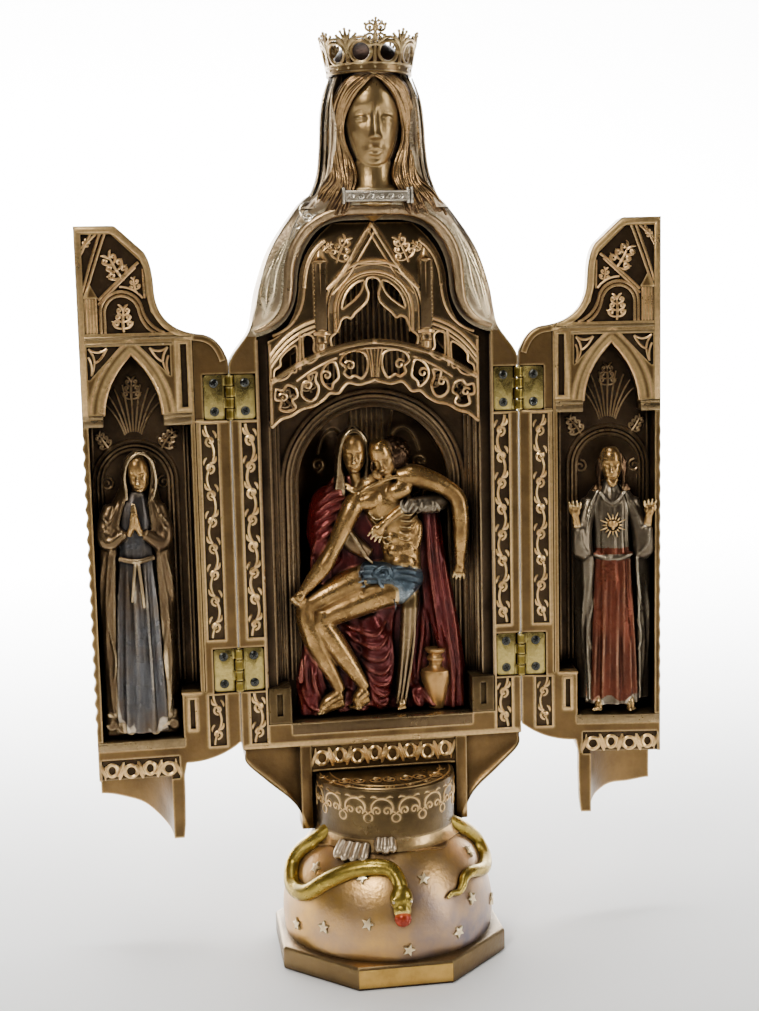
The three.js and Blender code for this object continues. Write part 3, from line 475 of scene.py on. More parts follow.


# material name; rubbed, metal, cloud and wash colours, the wash being patina and painted shade in the
# hollows; what else differs
finishPlan = {
    "bronze": ("antiqueBronze", (0.88, 0.58, 0.25), (0.19, 0.11, 0.04), (0.1, 0.058, 0.022),
        (0.008, 0.004, 0.0015), {"washHigh": 0.95}),
    "darkBronze": ("nicheBronze", (0.5, 0.34, 0.18), (0.075, 0.046, 0.023), (0.035, 0.021, 0.011),
        (0.003, 0.002, 0.0012), {"washReach": 0.006}),
    "tracery": ("traceryBronze", (0.95, 0.6, 0.27), (0.085, 0.055, 0.024), (0.045, 0.028, 0.013),
        (0.006, 0.003, 0.002), {"edgeWear": 1}),
    "gold": ("rubbedGold", (1, 0.68, 0.3), (0.62, 0.36, 0.13), (0.4, 0.22, 0.075), (0.02, 0.009, 0.004),
        {"washReach": 0.0015}),
    "mantle": ("silveredBronze", (1, 0.82, 0.52), (0.46, 0.335, 0.19), (0.24, 0.18, 0.12),
        (0.02, 0.012, 0.008), {"rough": 0.3}),
    # the globe's blue-grey cloud colour is a painted sheen, laid in random patches
    "globe": ("globeBronze", (0.9, 0.64, 0.33), (0.66, 0.38, 0.11), (0.2, 0.17, 0.19),
        (0.02, 0.012, 0.006), {"cloudScale": 24, "rough": 0.33}),
    "plinth": ("plinthBronze", (0.75, 0.52, 0.26), (0.2, 0.13, 0.055), (0.13, 0.085, 0.038),
        (0.015, 0.008, 0.004), {"cloudScale": 30}),
    # the plinth's facet facing front is painted a brighter gold than the other facets
    "plinthFront": ("frontFacetGold", (1, 0.7, 0.28), (0.68, 0.42, 0.11), (0.5, 0.3, 0.075),
        (0.03, 0.015, 0.006), {"cloudScale": 120}),
    "star": ("starGold", (1, 0.88, 0.6), (0.9, 0.72, 0.42), (0.7, 0.52, 0.28), (0.1, 0.06, 0.03),
        {"washReach": 0.0008}),
    "serpent": ("serpentGold", (0.95, 0.74, 0.24), (0.4, 0.28, 0.05), (0.2, 0.14, 0.025),
        (0.015, 0.009, 0.003), {"washReach": 0.0015, "rough": 0.3, "cloudScale": 260}),
    "toes": ("paleBronze", (0.98, 0.84, 0.62), (0.5, 0.39, 0.26), (0.32, 0.24, 0.16), (0.02, 0.012, 0.007),
        {"washReach": 0.002}),
    "apple": ("appleRed", (0.85, 0.2, 0.06), (0.4, 0.04, 0.01), (0.24, 0.02, 0.006), (0.05, 0.005, 0.003),
        {"metallic": 0.35, "rough": 0.24}),
    "skin": ("figureBronze", (1, 0.72, 0.34), (0.46, 0.27, 0.095), (0.2, 0.11, 0.036),
        (0.01, 0.005, 0.002), {"washHigh": 1, "cloudScale": 170, "washReach": 0.0028, "rough": 0.27}),
    "hair": ("hairBronze", (0.7, 0.42, 0.2), (0.05, 0.026, 0.012), (0.026, 0.013, 0.007),
        (0.003, 0.0015, 0.0008), {"edgeWear": 0.25, "washHigh": 1, "washReach": 0.0022, "rough": 0.27}),
    "faceBronze": ("faceBronze", (0.95, 0.7, 0.36), (0.42, 0.28, 0.12), (0.27, 0.175, 0.075),
        (0.02, 0.011, 0.005), {"washReach": 0.0022, "rough": 0.3}),
    "rim": ("rimBronze", (0.8, 0.56, 0.28), (0.11, 0.07, 0.027), (0.055, 0.034, 0.014),
        (0.004, 0.002, 0.001), {"rough": 0.3, "edgeWear": 0.3}),
    "veil": ("veilBronze", (0.85, 0.66, 0.42), (0.12, 0.08, 0.045), (0.07, 0.043, 0.026),
        (0.006, 0.0035, 0.002), {"washReach": 0.004, "rough": 0.3}),
    "plain": ("plainBronze", (0.3, 0.2, 0.1), (0.085, 0.052, 0.023), (0.05, 0.03, 0.013),
        (0.004, 0.002, 0.001), {"edgeWear": 0.25, "washReach": 0.003, "rough": 0.32}),
    "shadow": ("shadowBronze", (0.07, 0.035, 0.018), (0.022, 0.011, 0.006), (0.014, 0.007, 0.004),
        (0.003, 0.0015, 0.001), {"edgeWear": 0.2, "rough": 0.34}),
    "lock": ("lockBronze", (0.95, 0.6, 0.27), (0.12, 0.064, 0.025), (0.05, 0.025, 0.01),
        (0.006, 0.003, 0.0015), {"edgeWear": 0.35, "washReach": 0.002, "rough": 0.27}),
    "silver": ("rubbedSilver", (0.95, 0.86, 0.7), (0.55, 0.48, 0.36), (0.32, 0.26, 0.19),
        (0.02, 0.014, 0.01), {"washReach": 0.001, "rough": 0.3}),
    "crown": ("crownGold", (1, 0.74, 0.36), (0.27, 0.17, 0.07), (0.16, 0.1, 0.045), (0.006, 0.003, 0.0015),
        {"edgeWear": 0.45, "edgeReach": 0.0005, "washReach": 0.004, "rough": 0.3}),
    "red": ("redWash", (0.85, 0.3, 0.2), (0.1, 0.007, 0.006), (0.04, 0.003, 0.003), (0.003, 0.001, 0.0008),
        {"metallic": 0.6, "washHigh": 1, "washReach": 0.003, "rough": 0.28}),
    "copperRed": ("copperRedWash", (0.95, 0.5, 0.28), (0.12, 0.027, 0.011), (0.065, 0.016, 0.007),
        (0.005, 0.002, 0.001), {"metallic": 0.8, "washHigh": 1, "washReach": 0.003, "rough": 0.3}),
    "blue": ("blueWash", (0.7, 0.78, 0.8), (0.06, 0.085, 0.105), (0.03, 0.045, 0.06),
        (0.002, 0.003, 0.004), {"metallic": 0.7, "edgeWear": 0.3, "washHigh": 1, "washReach": 0.002,
        "rough": 0.3}),
    "blueGown": ("blueGreyGown", (0.75, 0.62, 0.45), (0.075, 0.075, 0.078), (0.085, 0.058, 0.036),
        (0.004, 0.0035, 0.003), {"metallic": 0.8, "washHigh": 1, "washReach": 0.003, "rough": 0.3}),
    "figureMantle": ("mantleBronze", (0.9, 0.66, 0.36), (0.15, 0.095, 0.045), (0.085, 0.052, 0.026),
        (0.005, 0.003, 0.0015), {"washHigh": 1, "washReach": 0.003, "rough": 0.3}),
    "silverMantle": ("silverMantle", (0.9, 0.76, 0.54), (0.15, 0.12, 0.08), (0.09, 0.066, 0.042),
        (0.005, 0.003, 0.002), {"washHigh": 1, "washReach": 0.003, "rough": 0.3}),
    "brass": ("hingeBrass", (0.75, 0.58, 0.2), (0.2, 0.14, 0.022), (0.12, 0.08, 0.014),
        (0.01, 0.006, 0.0015), {"metallic": 1, "washReach": 0.0015, "rough": 0.3, "cloudScale": 150,
        "bump": 0.04}),
    "screw": ("screwSteel", (0.2, 0.2, 0.18), (0.012, 0.013, 0.012), (0.007, 0.007, 0.006),
        (0.001, 0.001, 0.001), {"metallic": 1, "edgeWear": 0.5, "washReach": 0.0012, "rough": 0.3}),
}
finishes = {
    key: bronzeFinish(name, **dict(zip(("rubbed", "metal", "cloud", "wash"), colors)), **others) for key,
    (name, *colors, others) in finishPlan.items()
}


def paint(piece, finish):
    piece.data.materials.clear()
    piece.data.materials.append(finishes[finish])
    return piece


def finishPiece(piece, body, slot, *nodes, angle=40):
    triangles = sum(len(face.vertices) - 2 for face in piece.data.polygons)
    if triangles > mostTriangles:
        applyModifier(piece, "DECIMATE", ratio=mostTriangles / triangles)
    smoothShade(piece, angle)
    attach(piece, body)
    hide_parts(*nodes)
    print("made", piece.name, len(piece.data.polygons))
    return piece


# camera, floor and lights
studio = {
    "cameraAt": (-0.07352, -0.49397, 0.21603),
    "looksAlong": (0.14648, 0.98010, -0.13399),
    "roll": -1.3,
    "lens": 55.19,
}


def buildStudio():
    ahead = Vector(studio["looksAlong"]).normalized()
    right = ahead.cross(Vector((0, 0, 1))).normalized()
    up = right.cross(ahead)
    c, s = math.cos(deg(studio["roll"])), math.sin(deg(studio["roll"]))
    right, up = c * right + s * up, c * up - s * right
    turn = Matrix((right, up, -ahead)).transposed().to_4x4()
    lens = bpy.data.cameras.new("studioCamera")
    lens.lens = studio["lens"]
    camera = bpy.data.objects.new("studioCamera", lens)
    camera.matrix_world = Matrix.Translation(studio["cameraAt"]) @ turn
    bpy.context.collection.objects.link(camera)
    bpy.context.scene.camera = camera

    # floor sweeping up into a wall behind
    profile = chain([(-3, 0), (0.8, 0)], arc(0.8, 0.6, 0.6, -90, 0, 12), [(1.4, 3)])
    points = [(x, y * 1000, z * 1000) for y, z in profile for x in (-4000, 4000)]
    faces = [[2 * i, 2 * i + 1, 2 * i + 3, 2 * i + 2] for i in range(len(profile) - 1)]
    floor = meshPiece("studioFloor", points, faces)
    pale = bpy.data.materials.new("paleBackdrop")
    pale.use_nodes = True
    pale.node_tree.nodes["Principled BSDF"].inputs["Base Color"].default_value = (0.97, 0.97, 0.965, 1)
    pale.node_tree.nodes["Principled BSDF"].inputs["Roughness"].default_value = 0.9
    pale.node_tree.nodes["Principled BSDF"].inputs["Specular IOR Level"].default_value = 0.1
    floor.data.materials.append(pale)
    smoothShade(floor)

    def panel(name, at, aim, size, power, tint=(1, 1, 1), spread=180):
        light = bpy.data.lights.new(name, "AREA")
        light.shape = "RECTANGLE"
        light.size, light.size_y = size
        light.energy = power
        light.color = tint
        light.spread = deg(spread)
        holder = bpy.data.objects.new(name, light)
        holder.location = at
        holder.rotation_euler = (Vector(aim) - Vector(at)).to_track_quat("-Z", "Y").to_euler()
        bpy.context.collection.objects.link(holder)

    middle = (0, 0, 0.15)
    panel("keyPanel", (-0.5, -0.8, 0.8), middle, (0.3, 0.3), 7.5, (1, 0.95, 0.87))
    panel("fillPanel", (0.8, -0.55, 0.3), middle, (0.16, 0.7), 4.2, (1, 0.98, 0.94))
    panel("topPanel", (-0.1, -0.1, 1.1), middle, (0.35, 0.25), 3.2)
    panel("backdropPanel", (0, 0.45, 1.6), (0, 1.1, 0.3), (2.4, 0.5), 210, spread=84)
    world = bpy.data.worlds.new("studioAir")
    bpy.context.scene.world = world
    world.use_nodes = True
    world.node_tree.nodes["Background"].inputs["Color"].default_value = (0.9, 0.92, 1, 1)
    world.node_tree.nodes["Background"].inputs["Strength"].default_value = 0.04


buildStudio()
print("studio ready")

# base: plinth, globe, serpent, stars
base = {
    "across": 73.4,
    "plinthHeight": 7.8,
    "bevel": 1,
    "radius": 35,
    "centre": 14.3,
    "top": 40.2,
    "starSize": 2.2,
    "starWaist": 1,
    "starHeight": 0.75,
    "stars": [(-59, 33), (-24, 33), (14, 31), (62, 35), (44, 14), (70, 4), (31, 0), (2, -4), (-19, 10),
        (-44, 5), (-65, 1)],
    "neck": [(-66, 58), (-74, 46), (-83, 36), (-83, 27), (-73, 19), (-59, 19.5), (-45, 29), (-31, 36),
        (-16, 38.5), (-6, 37), (-1.5, 31), (-1, 26)],
    "neckSizes": [2, 2, 2, 2, 2, 2, 2, 2, 1.95, 1.85, 1.75, 1.9],
    "tail": [(26, 19), (30, 20.5), (34, 20), (38, 22), (41, 25), (46, 26.5), (52, 26), (66, 23), (80, 25),
        (87, 32), (83, 40), (74, 48), (64, 58)],
    "tailSizes": [0.35, 0.6, 0.8, 1, 1.15, 1.3, 1.4, 1.65, 1.85, 2, 2, 2, 2],
}


def onGlobe(azimuth, elevation, proud=0):
    r = base["radius"] + proud
    a, e = deg(azimuth), deg(elevation)
    return np.array([r * math.cos(e) * math.sin(a), -r * math.cos(e) * math.cos(a), base["centre"]
        + r * math.sin(e)])


def buildBase():
    corner = base["across"] / 2 / math.cos(pi / 8)
    bpy.ops.mesh.primitive_cylinder_add(vertices=8, radius=corner * mm, depth=base["plinthHeight"] * mm,
        location=(0, 0, base["plinthHeight"] * mm / 2), rotation=(0, 0, pi / 8))
    plinth = bpy.context.object
    bpy.ops.object.transform_apply(location=True, rotation=True, scale=True)
    applyModifier(plinth, "BEVEL", width=base["bevel"] * mm, segments=3, limit_method="ANGLE",
        angle_limit=deg(60))
    applyModifier(plinth, "BEVEL", width=0.25 * mm, segments=2, limit_method="ANGLE", angle_limit=deg(25))
    paint(plinth, "plinth")
    plinth.data.materials.append(finishes["plinthFront"])
    # the facet facing front takes the brighter gold
    for face in plinth.data.polygons:
        if face.normal.y < -0.9 and face.area > 1e-5:
            face.material_index = 1

    bpy.ops.mesh.primitive_uv_sphere_add(segments=96, ring_count=64, radius=base["radius"] * mm,
        location=(0, 0, base["centre"] * mm))
    globe = bpy.context.object
    bpy.ops.object.transform_apply(location=True, rotation=True, scale=True)
    bpy.ops.object.mode_set(mode="EDIT")
    for level, upward in ((base["plinthHeight"] - 2, -1), (base["top"], 1)):
        bpy.ops.mesh.select_all(action="SELECT")
        bpy.ops.mesh.bisect(plane_co=(0, 0, level * mm), plane_no=(0, 0, upward), clear_outer=True,
            use_fill=True)
    bpy.ops.object.mode_set(mode="OBJECT")
    # the globe is slightly battered, as hand-made models are
    points = pointsOf(globe)
    normals = normalsOf(globe)
    sway = 0.18 * np.sin(points[:, 0] * 0.21 + 1) * np.sin(points[:, 2] * 0.17) * np.cos(points[:,
        1] * 0.13)
    middle = (points[:, 2] > base["plinthHeight"] - 1.9) & (points[:, 2] < base["top"] - 0.1)
    points[middle] += normals[middle] * sway[middle, None]
    setPoints(globe, points)
    paint(globe, "globe")

    stars = []
    outline = [(r * math.sin(i * pi / 5), r * math.cos(i * pi / 5)) for i in range(10)
        for r in [base["starWaist"] if i % 2 else base["starSize"]]]
    for azimuth, elevation in base["stars"]:
        star = plate("star", [outline], -base["starHeight"], base["starHeight"], 0.22)
        spin = Matrix.Rotation(spread.uniform(-0.5, 0.5), 4, "Y")
        upright = Matrix.Rotation(deg(azimuth), 4, "Z") @ Matrix.Rotation(-deg(elevation), 4, "X") @ spin
        star.data.transform(Matrix.Translation(Vector(onGlobe(azimuth, elevation, 0.1)) * mm) @ upright)
        stars.append(star)
    stars = paint(joinPieces(stars, "stars"), "star")

    def lengthOf(route, sizes, name):
        line = bendThrough([onGlobe(a, e, 0.9) for a, e in route], 8)
        thick = bendThrough(np.c_[sizes, sizes], 8)[:, 0] * 1.38
        return strands(name, [(line, thick)], 24)

    neck = lengthOf(base["neck"], base["neckSizes"], "serpentNeck")
    tail = lengthOf(base["tail"], base["tailSizes"], "serpentTail")
    skull = ball("serpentSkull", onGlobe(-1, 22.5, 1.5), (3.7, 2.8, 4.4), (-14, 0, 0))
    snout = ball("serpentSnout", onGlobe(-1, 17.2, 1.8), (2.9, 2.3, 3), (-14, 0, 0))
    brows = [ball("serpentBrow", onGlobe(-1 + s * 4, 21.6, 3.2), (0.9, 0.8, 1.2)) for s in (-1, 1)]
    headPiece = fuse([skull, snout, *brows, neck], "serpentHead", 0.35, 3)
    serpent = paint(joinPieces([headPiece, tail], "serpent"), "serpent")
    eyes = paint(joinPieces([bead("serpentEye", onGlobe(-1 + s * 4.4, 20.8, 3.7), 0.42) for s in (-1, 1)],
        "serpentEyes"), "toes")
    apple = paint(ball("apple", onGlobe(-1, 13, 2.2), (2.7, 2.4, 2.7)), "apple")
    toes = []
    for first, count, pitch, height in ((-43.5, 4, 6.4, 42.5), (-14.5, 3, 5.2, 48)):
        for i in range(count):
            a = first + i * pitch
            reach = height - 1.3 * math.sin(pi * (i + 0.5) / count) - 1
            toes.append(limb("toe", [onGlobe(a, height + 7, 1.6), onGlobe(a, reach + 2.2, 2),
                onGlobe(a, reach, 1.3)], [1.6, 1.6, 1.25] if count == 4 else [1.4, 1.4, 1.1], 16, 5))
    toes = paint(fuse(toes, "toes", 0.3, 2), "toes")
    whole = joinPieces([globe, plinth, stars, serpent, eyes, apple, toes], "globe_base_cast")
    return finishPiece(whole, "shrine", "antique_bronze", "globe_base", angle=35)


buildBase()

# ornament, drawn as lines in a flat field
def vineLines(middle, low, high, half, pitch, thick):
    count = max(1, round((high - low) / pitch))
    pitch = (high - low) / count
    lines = []
    t = np.linspace(0, 1, 12 * count)
    wave = np.c_[middle + half * 0.55 * np.cos(pi * count * t), low + (high - low) * t]
    lines.append((wave, thick * 0.8))
    for i in range(count):
        hand = 1 if i % 2 else -1
        z = low + (i + 0.5) * pitch
        eye = curl(middle - hand * half * 0.1, z - pitch * 0.28, half * 0.72, 270, 420, hand)
        lines.append((eye, tapered(len(eye), thick, (0.8, 0.9))))
        tip = middle + hand * half * 0.85
        leaf = bow((middle, z + pitch * 0.12), (tip, z + pitch * 0.1), (tip, z + pitch * 0.36), 8)
        lines.append((leaf, tapered(8, thick * 1.1, (0.5, 0.25))))
        barb = bow((middle - hand * half * 0.5, z + pitch * 0.3), (middle - hand * half, z + pitch * 0.2),
            (middle - hand * half * 0.9, z + pitch * 0.02), 7)
        lines.append((barb, tapered(7, thick * 0.9, (0.6, 0.2))))
    return lines


def ringLines(x0, x1, z0, z1, count, thick):
    pitch = (x1 - x0) / count
    middle, tall = (z0 + z1) / 2, (z1 - z0) / 2
    lines = []
    for i in range(count):
        x = x0 + (i + 0.5) * pitch
        hand = 1 if i % 2 else -1
        ring = arc(x, middle + hand * tall * 0.08, pitch * (0.3 - hand * 0.025), 0, 360, 18, tall * 0.55)
        lines.append((ring, thick))
        for side in (-1, 1):
            start = x + side * pitch * 0.28
            out = bow((start, middle - hand * tall * 0.45), (x + side * pitch * 0.5, middle),
                (x + side * pitch * 0.6, middle + hand * tall * 0.78), 8)
            lines.append((out, tapered(8, thick * 1.3, (0.7, 0.35))))
            inner = bow((start, middle + hand * tall * 0.5), (x + side * pitch * 0.42,
                middle + hand * tall * 0.2), (x + side * pitch * 0.36, middle - hand * tall * 0.8), 7)
            lines.append((inner, tapered(7, thick * 0.9, (0.6, 0.3))))
    return lines


# a spray of curling leaves about a stem; lean turns the whole spray
def sprayLines(x, z, size, lean, thick, lobes=3, seed=0):
    wander = np.random.default_rng(seed)
    c, s = math.cos(deg(lean)), math.sin(deg(lean))
    turn = np.array([[c, s], [-s, c]])
    lines = []
    stem = bow((0, -size), (size * 0.12, -size * 0.2), (-size * 0.05, size * 0.55), 10)
    lines.append((stem, tapered(10, thick * 1.1, (0.7, 0.5))))
    for i in range(lobes):
        for side in (-1, 1):
            z0 = -size * 0.75 + i * size * 1.35 / lobes
            reach = size * (0.78 - 0.14 * i) * wander.uniform(0.85, 1.1)
            line = bow((0, z0), (side * reach * 0.55, z0 - size * 0.05),
                (side * reach * 0.8, z0 + size * 0.3), 8)
            hook = curl(*line[-1], reach * 0.26, 0 if side > 0 else 180, 300, side, 10)
            both = chain(line, hook[1:])
            lines.append((both, tapered(len(both), thick, (0.6, 0.8))))
            barb = bow(line[4], line[4] + (side * reach * 0.15, reach * 0.4),
                line[4] + (side * reach * 0.42, reach * 0.5), 6)
            lines.append((barb, tapered(6, thick * 0.85, (0.7, 0.3))))
    for side in (-1, 1):
        tip = bow((0, size * 0.4), (side * size * 0.1, size * 0.75), (side * size * 0.34, size * 0.85), 7)
        lines.append((tip, tapered(7, thick, (0.7, 0.35))))
    return [(line @ turn + (x, z), r) for line, r in lines]


def mirrored(lines):
    return [(line * (-1, 1), r) for line, r in lines]


def bothSides(lines):
    return lines + mirrored(lines)


def symmetricOutline(right):
    right = np.asarray(right, float)
    left = right[right[:, 0] > 0.01][::-1] * (-1, 1)
    return chain(right, left)


def clamp(value, low=0, high=1):
    return np.clip(value, low, high)


def easeStep(value, low, high):
    t = clamp((value - low) / (high - low))
    return t * t * (3 - 2 * t)


# body: mantle, niche and drum
body = {
    "rows": [(41, 26, -2, 22), (50, 30, -3, 26), (58, 38.5, -4, 29), (65, 45.6, -4, 30.5),
        (69.4, 46, -4, 31)],
    "upperRows": [(69.7, 46.8, 0, 31), (100, 46.8, 0, 31.2), (135, 46.8, 0, 31.5), (170, 46.8, 0, 31.5),
        (190, 46.8, 0, 31.5), (197, 46.4, 0, 31.5), (205.5, 40.5, 0.4, 31), (212, 38.6, 3, 30.6),
        (220, 36.7, 3.6, 30), (232, 32.2, 4.4, 28.5), (243.5, 24.5, 6.4, 25), (247.4, 20.8, 6.8, 22.6)],
    "floor": 77.5,
    "jamb": 38,
    "opening": 34.5,
    "panel": 11.4,
    "arch": 25,
    "spring": 155,
    "step": 3,
    "depth": 24,
    "drum": 22.9,
    "drumTop": 60,
    "shafts": [(31.4, 10.6), (33, 9.4), (34.6, 7.8), (36.2, 5.6)],
    "archRadii": [(30.3, 10.9, 0.75), (28.7, 11.3, 0.6), (27.3, 11.5, 0.5), (25.6, 11.2, 0.75)],
}


def doorway(grow, bottom, half):
    right = chain([(half, bottom)], bow((half, 203.5 + grow), (25.5 + grow, 206 + grow),
        (24.2 + grow, 219), 14), bow((24.2 + grow, 219), (24 + grow, 230),
        (17.5 + grow * 0.7, 236.4 + grow * 0.7), 12)[1:], bow((17.5 + grow * 0.7, 236.4 + grow * 0.7),
        (14.2, 239.6 + grow), (7, 239.6 + grow), 8)[1:], [(0, 239.6 + grow)])
    return symmetricOutline(right)


def mantleRing(z, half, front, back, sides=168):
    angle = around(sides)
    ahead, across = np.cos(angle), np.sin(angle)
    calm = clamp((240 - z) / 60, 0.25, 1)
    folds = 1.1 * calm * (np.cos(12 * angle) + 0.35 * np.cos(25 * angle + z * 0.03 + 1)) * clamp(-ahead * 6
        - 0.2)
    shoulder = 0.75 * clamp((z - 203) / 12) * clamp((250 - z) / 22) * np.cos(15 * angle + 0.05 * (z - 200))
    folds = folds + shoulder * clamp(1.2 - abs(ahead) * 2)
    reach = np.where(ahead > 0, -front * np.abs(ahead) ** 0.7, (back + folds) * np.abs(ahead) ** 0.75)
    flank = np.where(ahead < 0, np.minimum(1, 1.03 * np.abs(across)), np.abs(across))
    wide = (half + shoulder * clamp(1 - abs(ahead))) * np.sign(across) * flank ** 0.9
    return np.c_[wide, reach, np.full(sides, z)]


def buildMantle():
    lower = bendThrough(body["rows"], 5)
    upper = bendThrough(body["upperRows"], 6)
    mantle = loft("mantle", [mantleRing(*row) for row in chain(lower, upper)])
    bay = symmetricOutline(chain([(body["arch"], body["floor"])], arc(0, body["spring"], body["arch"], 0,
        90, 24)))
    ends = [[(30 * math.sin(a), -body["depth"] * math.cos(a), z) for a in around(64)] for z in (70, 190)]
    hollow = cutAway(prism("bay", bay, 0, 40), loft("bayBack", ends), operation="INTERSECT")
    tools = [prism("way", doorway(2.4, body["floor"], body["jamb"]), -20, 0),
        prism("recess", doorway(0.4, body["floor"], body["jamb"]), -1, body["step"]),
        prism("opening", doorway(-2.4, body["floor"], body["opening"]), -0.5, body["panel"]), hollow,
        prism("vault", doorway(-6, 188, 26), 0.3, 15),]
    for side in (-1, 1):
        tools += [block("hingeBed", *sorted((side * 38.6, side * 49)), -1, 1.65, level - 7.4, level + 7.4,
            0) for level in (185.2, 96.5)]
        tools += [block("scrollField", *sorted((side * 38.6, side * 43.6)), -1, 0.7, low, high, 0) for low,
            high in ((71.6, 88.6), (107, 177))]
    cutAway(mantle, *tools)
    mantle.data.materials.clear()
    for name in ("mantle", "bronze", "darkBronze"):
        mantle.data.materials.append(finishes[name])
    for face in mantle.data.polygons:
        x, y, z = face.center / mm
        inward = face.normal.x * x < 0.3 or face.normal.y < -0.9
        inNiche = inward and abs(x) < 38.2 and 77 < z < 242 and y > 0.05 and (y < 15.2
            or (abs(x) < 25.2 and y < 24.3 and z < 181))
        if inNiche:
            face.material_index = 2 if y > 2.9 or face.normal.y > -0.5 else 1
        elif 0.6 < y < 0.8 and abs(x) > 38.7:
            face.material_index = 2
        elif z < 69 or (y < 1.7 and z < 204):
            face.material_index = 1
    return mantle


def friezeLines():
    lines = []
    count, r = 16, body["drum"]
    pitch = 2 * pi * r / count
    for i in range(count):
        u = (i + 0.5) * pitch
        for side in (-1, 1):
            outer = arc(u, 54.2, 3.5, 90, 90 - side * 128, 14, 3.1)
            inner = curl(*outer[-1], 1.5, -38 if side > 0 else 218, 430, side, 16)
            line = chain(outer, inner[1:])
            lines.append((line, tapered(len(line), 0.42, (1, 0.9))))
            horn = bow((u + side * 1.2, 57.3), (u + side * 2.6, 58.4), (u + side * 3.6, 57.6), 6)
            lines.append((horn, tapered(6, 0.34, (0.6, 0.4))))
        v = i * pitch
        lines.append((arc(v, 51, 1.35, 100, 440, 16), 0.36))
        lines += [(bow((v + side * 1.3, 53.4), (v + side * 0.3, 52.8), (v, 52.3), 6), 0.34)
            for side in (-1, 1)]
    return lines


def wrapOnDrum(lines, radius, sink):
    out = []
    for line, r in lines:
        a = line[:, 0] / body["drum"]
        flat = radius - sink * np.broadcast_to(r, (len(line),))
        out.append((np.c_[flat * np.sin(a), -flat * np.cos(a), line[:, 1]], r))
    return out


def buildDrum():
    bpy.ops.mesh.primitive_cylinder_add(vertices=128, radius=body["drum"] * mm, depth=19.5 * mm,
        location=(0, 0, 50.25 * mm))
    drum = bpy.context.object
    bpy.ops.object.transform_apply(location=True, rotation=True, scale=True)
    applyModifier(drum, "BEVEL", width=0.5 * mm, segments=3, limit_method="ANGLE", angle_limit=deg(60))
    # the gown's hem spreads on the globe, lowest in front and turned up at the toes
    angles = around(120)
    rings = []
    for share, lift in ((0, 0), (0.15, 0.55), (0.45, 0.6), (0.8, 0.8), (1, 0.75), (1.03, 0)):
        ring = []
        for a in angles:
            azimuth = math.degrees(a) if a < pi else math.degrees(a) - 360
            wave = 1.3 * math.sin(a * 7 + 0.6) + 0.8 * math.sin(a * 13 + 2)
            lift2 = 4.5 * math.exp(-((azimuth + 24) / 20) ** 2)
            low = 46 + wave + lift2
            e = 60 + (low - 60) * share
            ring.append(onGlobe(math.degrees(a), e, lift))
        rings.append(ring)
    hem = loft("hem", rings[::-1])
    cove = loft("cove", [[(r * math.sin(a), -r * math.cos(a), z) for a in angles] for r,
        z in ((24.6, 40.2), (23.9, 41), (23.3, 42), (23, 43.6), (22.6, 43.8))])
    pieces = [drum, hem, cove]
    pieces.append(block("bandGround", -24.3, 24.3, 1.2, 10, 60.4, 70, 0))
    for side in (-1, 1):
        x0, x1 = sorted((side * 24.2, side * 28))
        pieces.append(block("pilaster", x0, x1, 0, 9, 41.2, 69.9, 0.35))
    lines = wrapOnDrum(friezeLines(), body["drum"], 0.15)
    front = [(line, r) for line, r in lines if line[:, 1].mean() < 12]
    top = [(np.c_[arc(0, 0, radius, 180, 360, 60), np.full(60, body["drumTop"] + 0.05)], 0.35)
        for radius in (21.6, 18.4)]
    for i in range(9):
        a = deg(192 + i * 19.5)
        hand = 1 if i % 2 else -1
        spiral = curl(20 * math.cos(a), 20 * math.sin(a), 1.5, 0, 500, hand, 18)
        top.append((np.c_[spiral, np.full(18, body["drumTop"] + 0.05)], 0.32))
    for i in range(7):
        spiral = curl(-15 + i * 5, -9.5 + 0.15 * (i - 3) ** 2, 2.6, 90, 560, 1 if i % 2 else -1, 24)
        top.append((np.c_[spiral, np.full(24, body["drumTop"] + 0.05)], 0.4))
    pieces.append(strands("drumScrolls", front + top, 6))
    for piece in pieces:
        paint(piece, "rim" if piece is drum else "bronze")
    band = ringLines(-23.6, 23.6, 61.2, 69.2, 8, 0.62)
    gold = strands("bandScrolls", atDepth(band, 1), 6)
    edges = strands("bandEdges", atDepth([(np.array([(-24, z), (24, z)]), 0.4) for z in (60.8, 69.4)],
        0.9), 6)
    pieces += [paint(gold, "gold"), paint(edges, "bronze")]
    return pieces


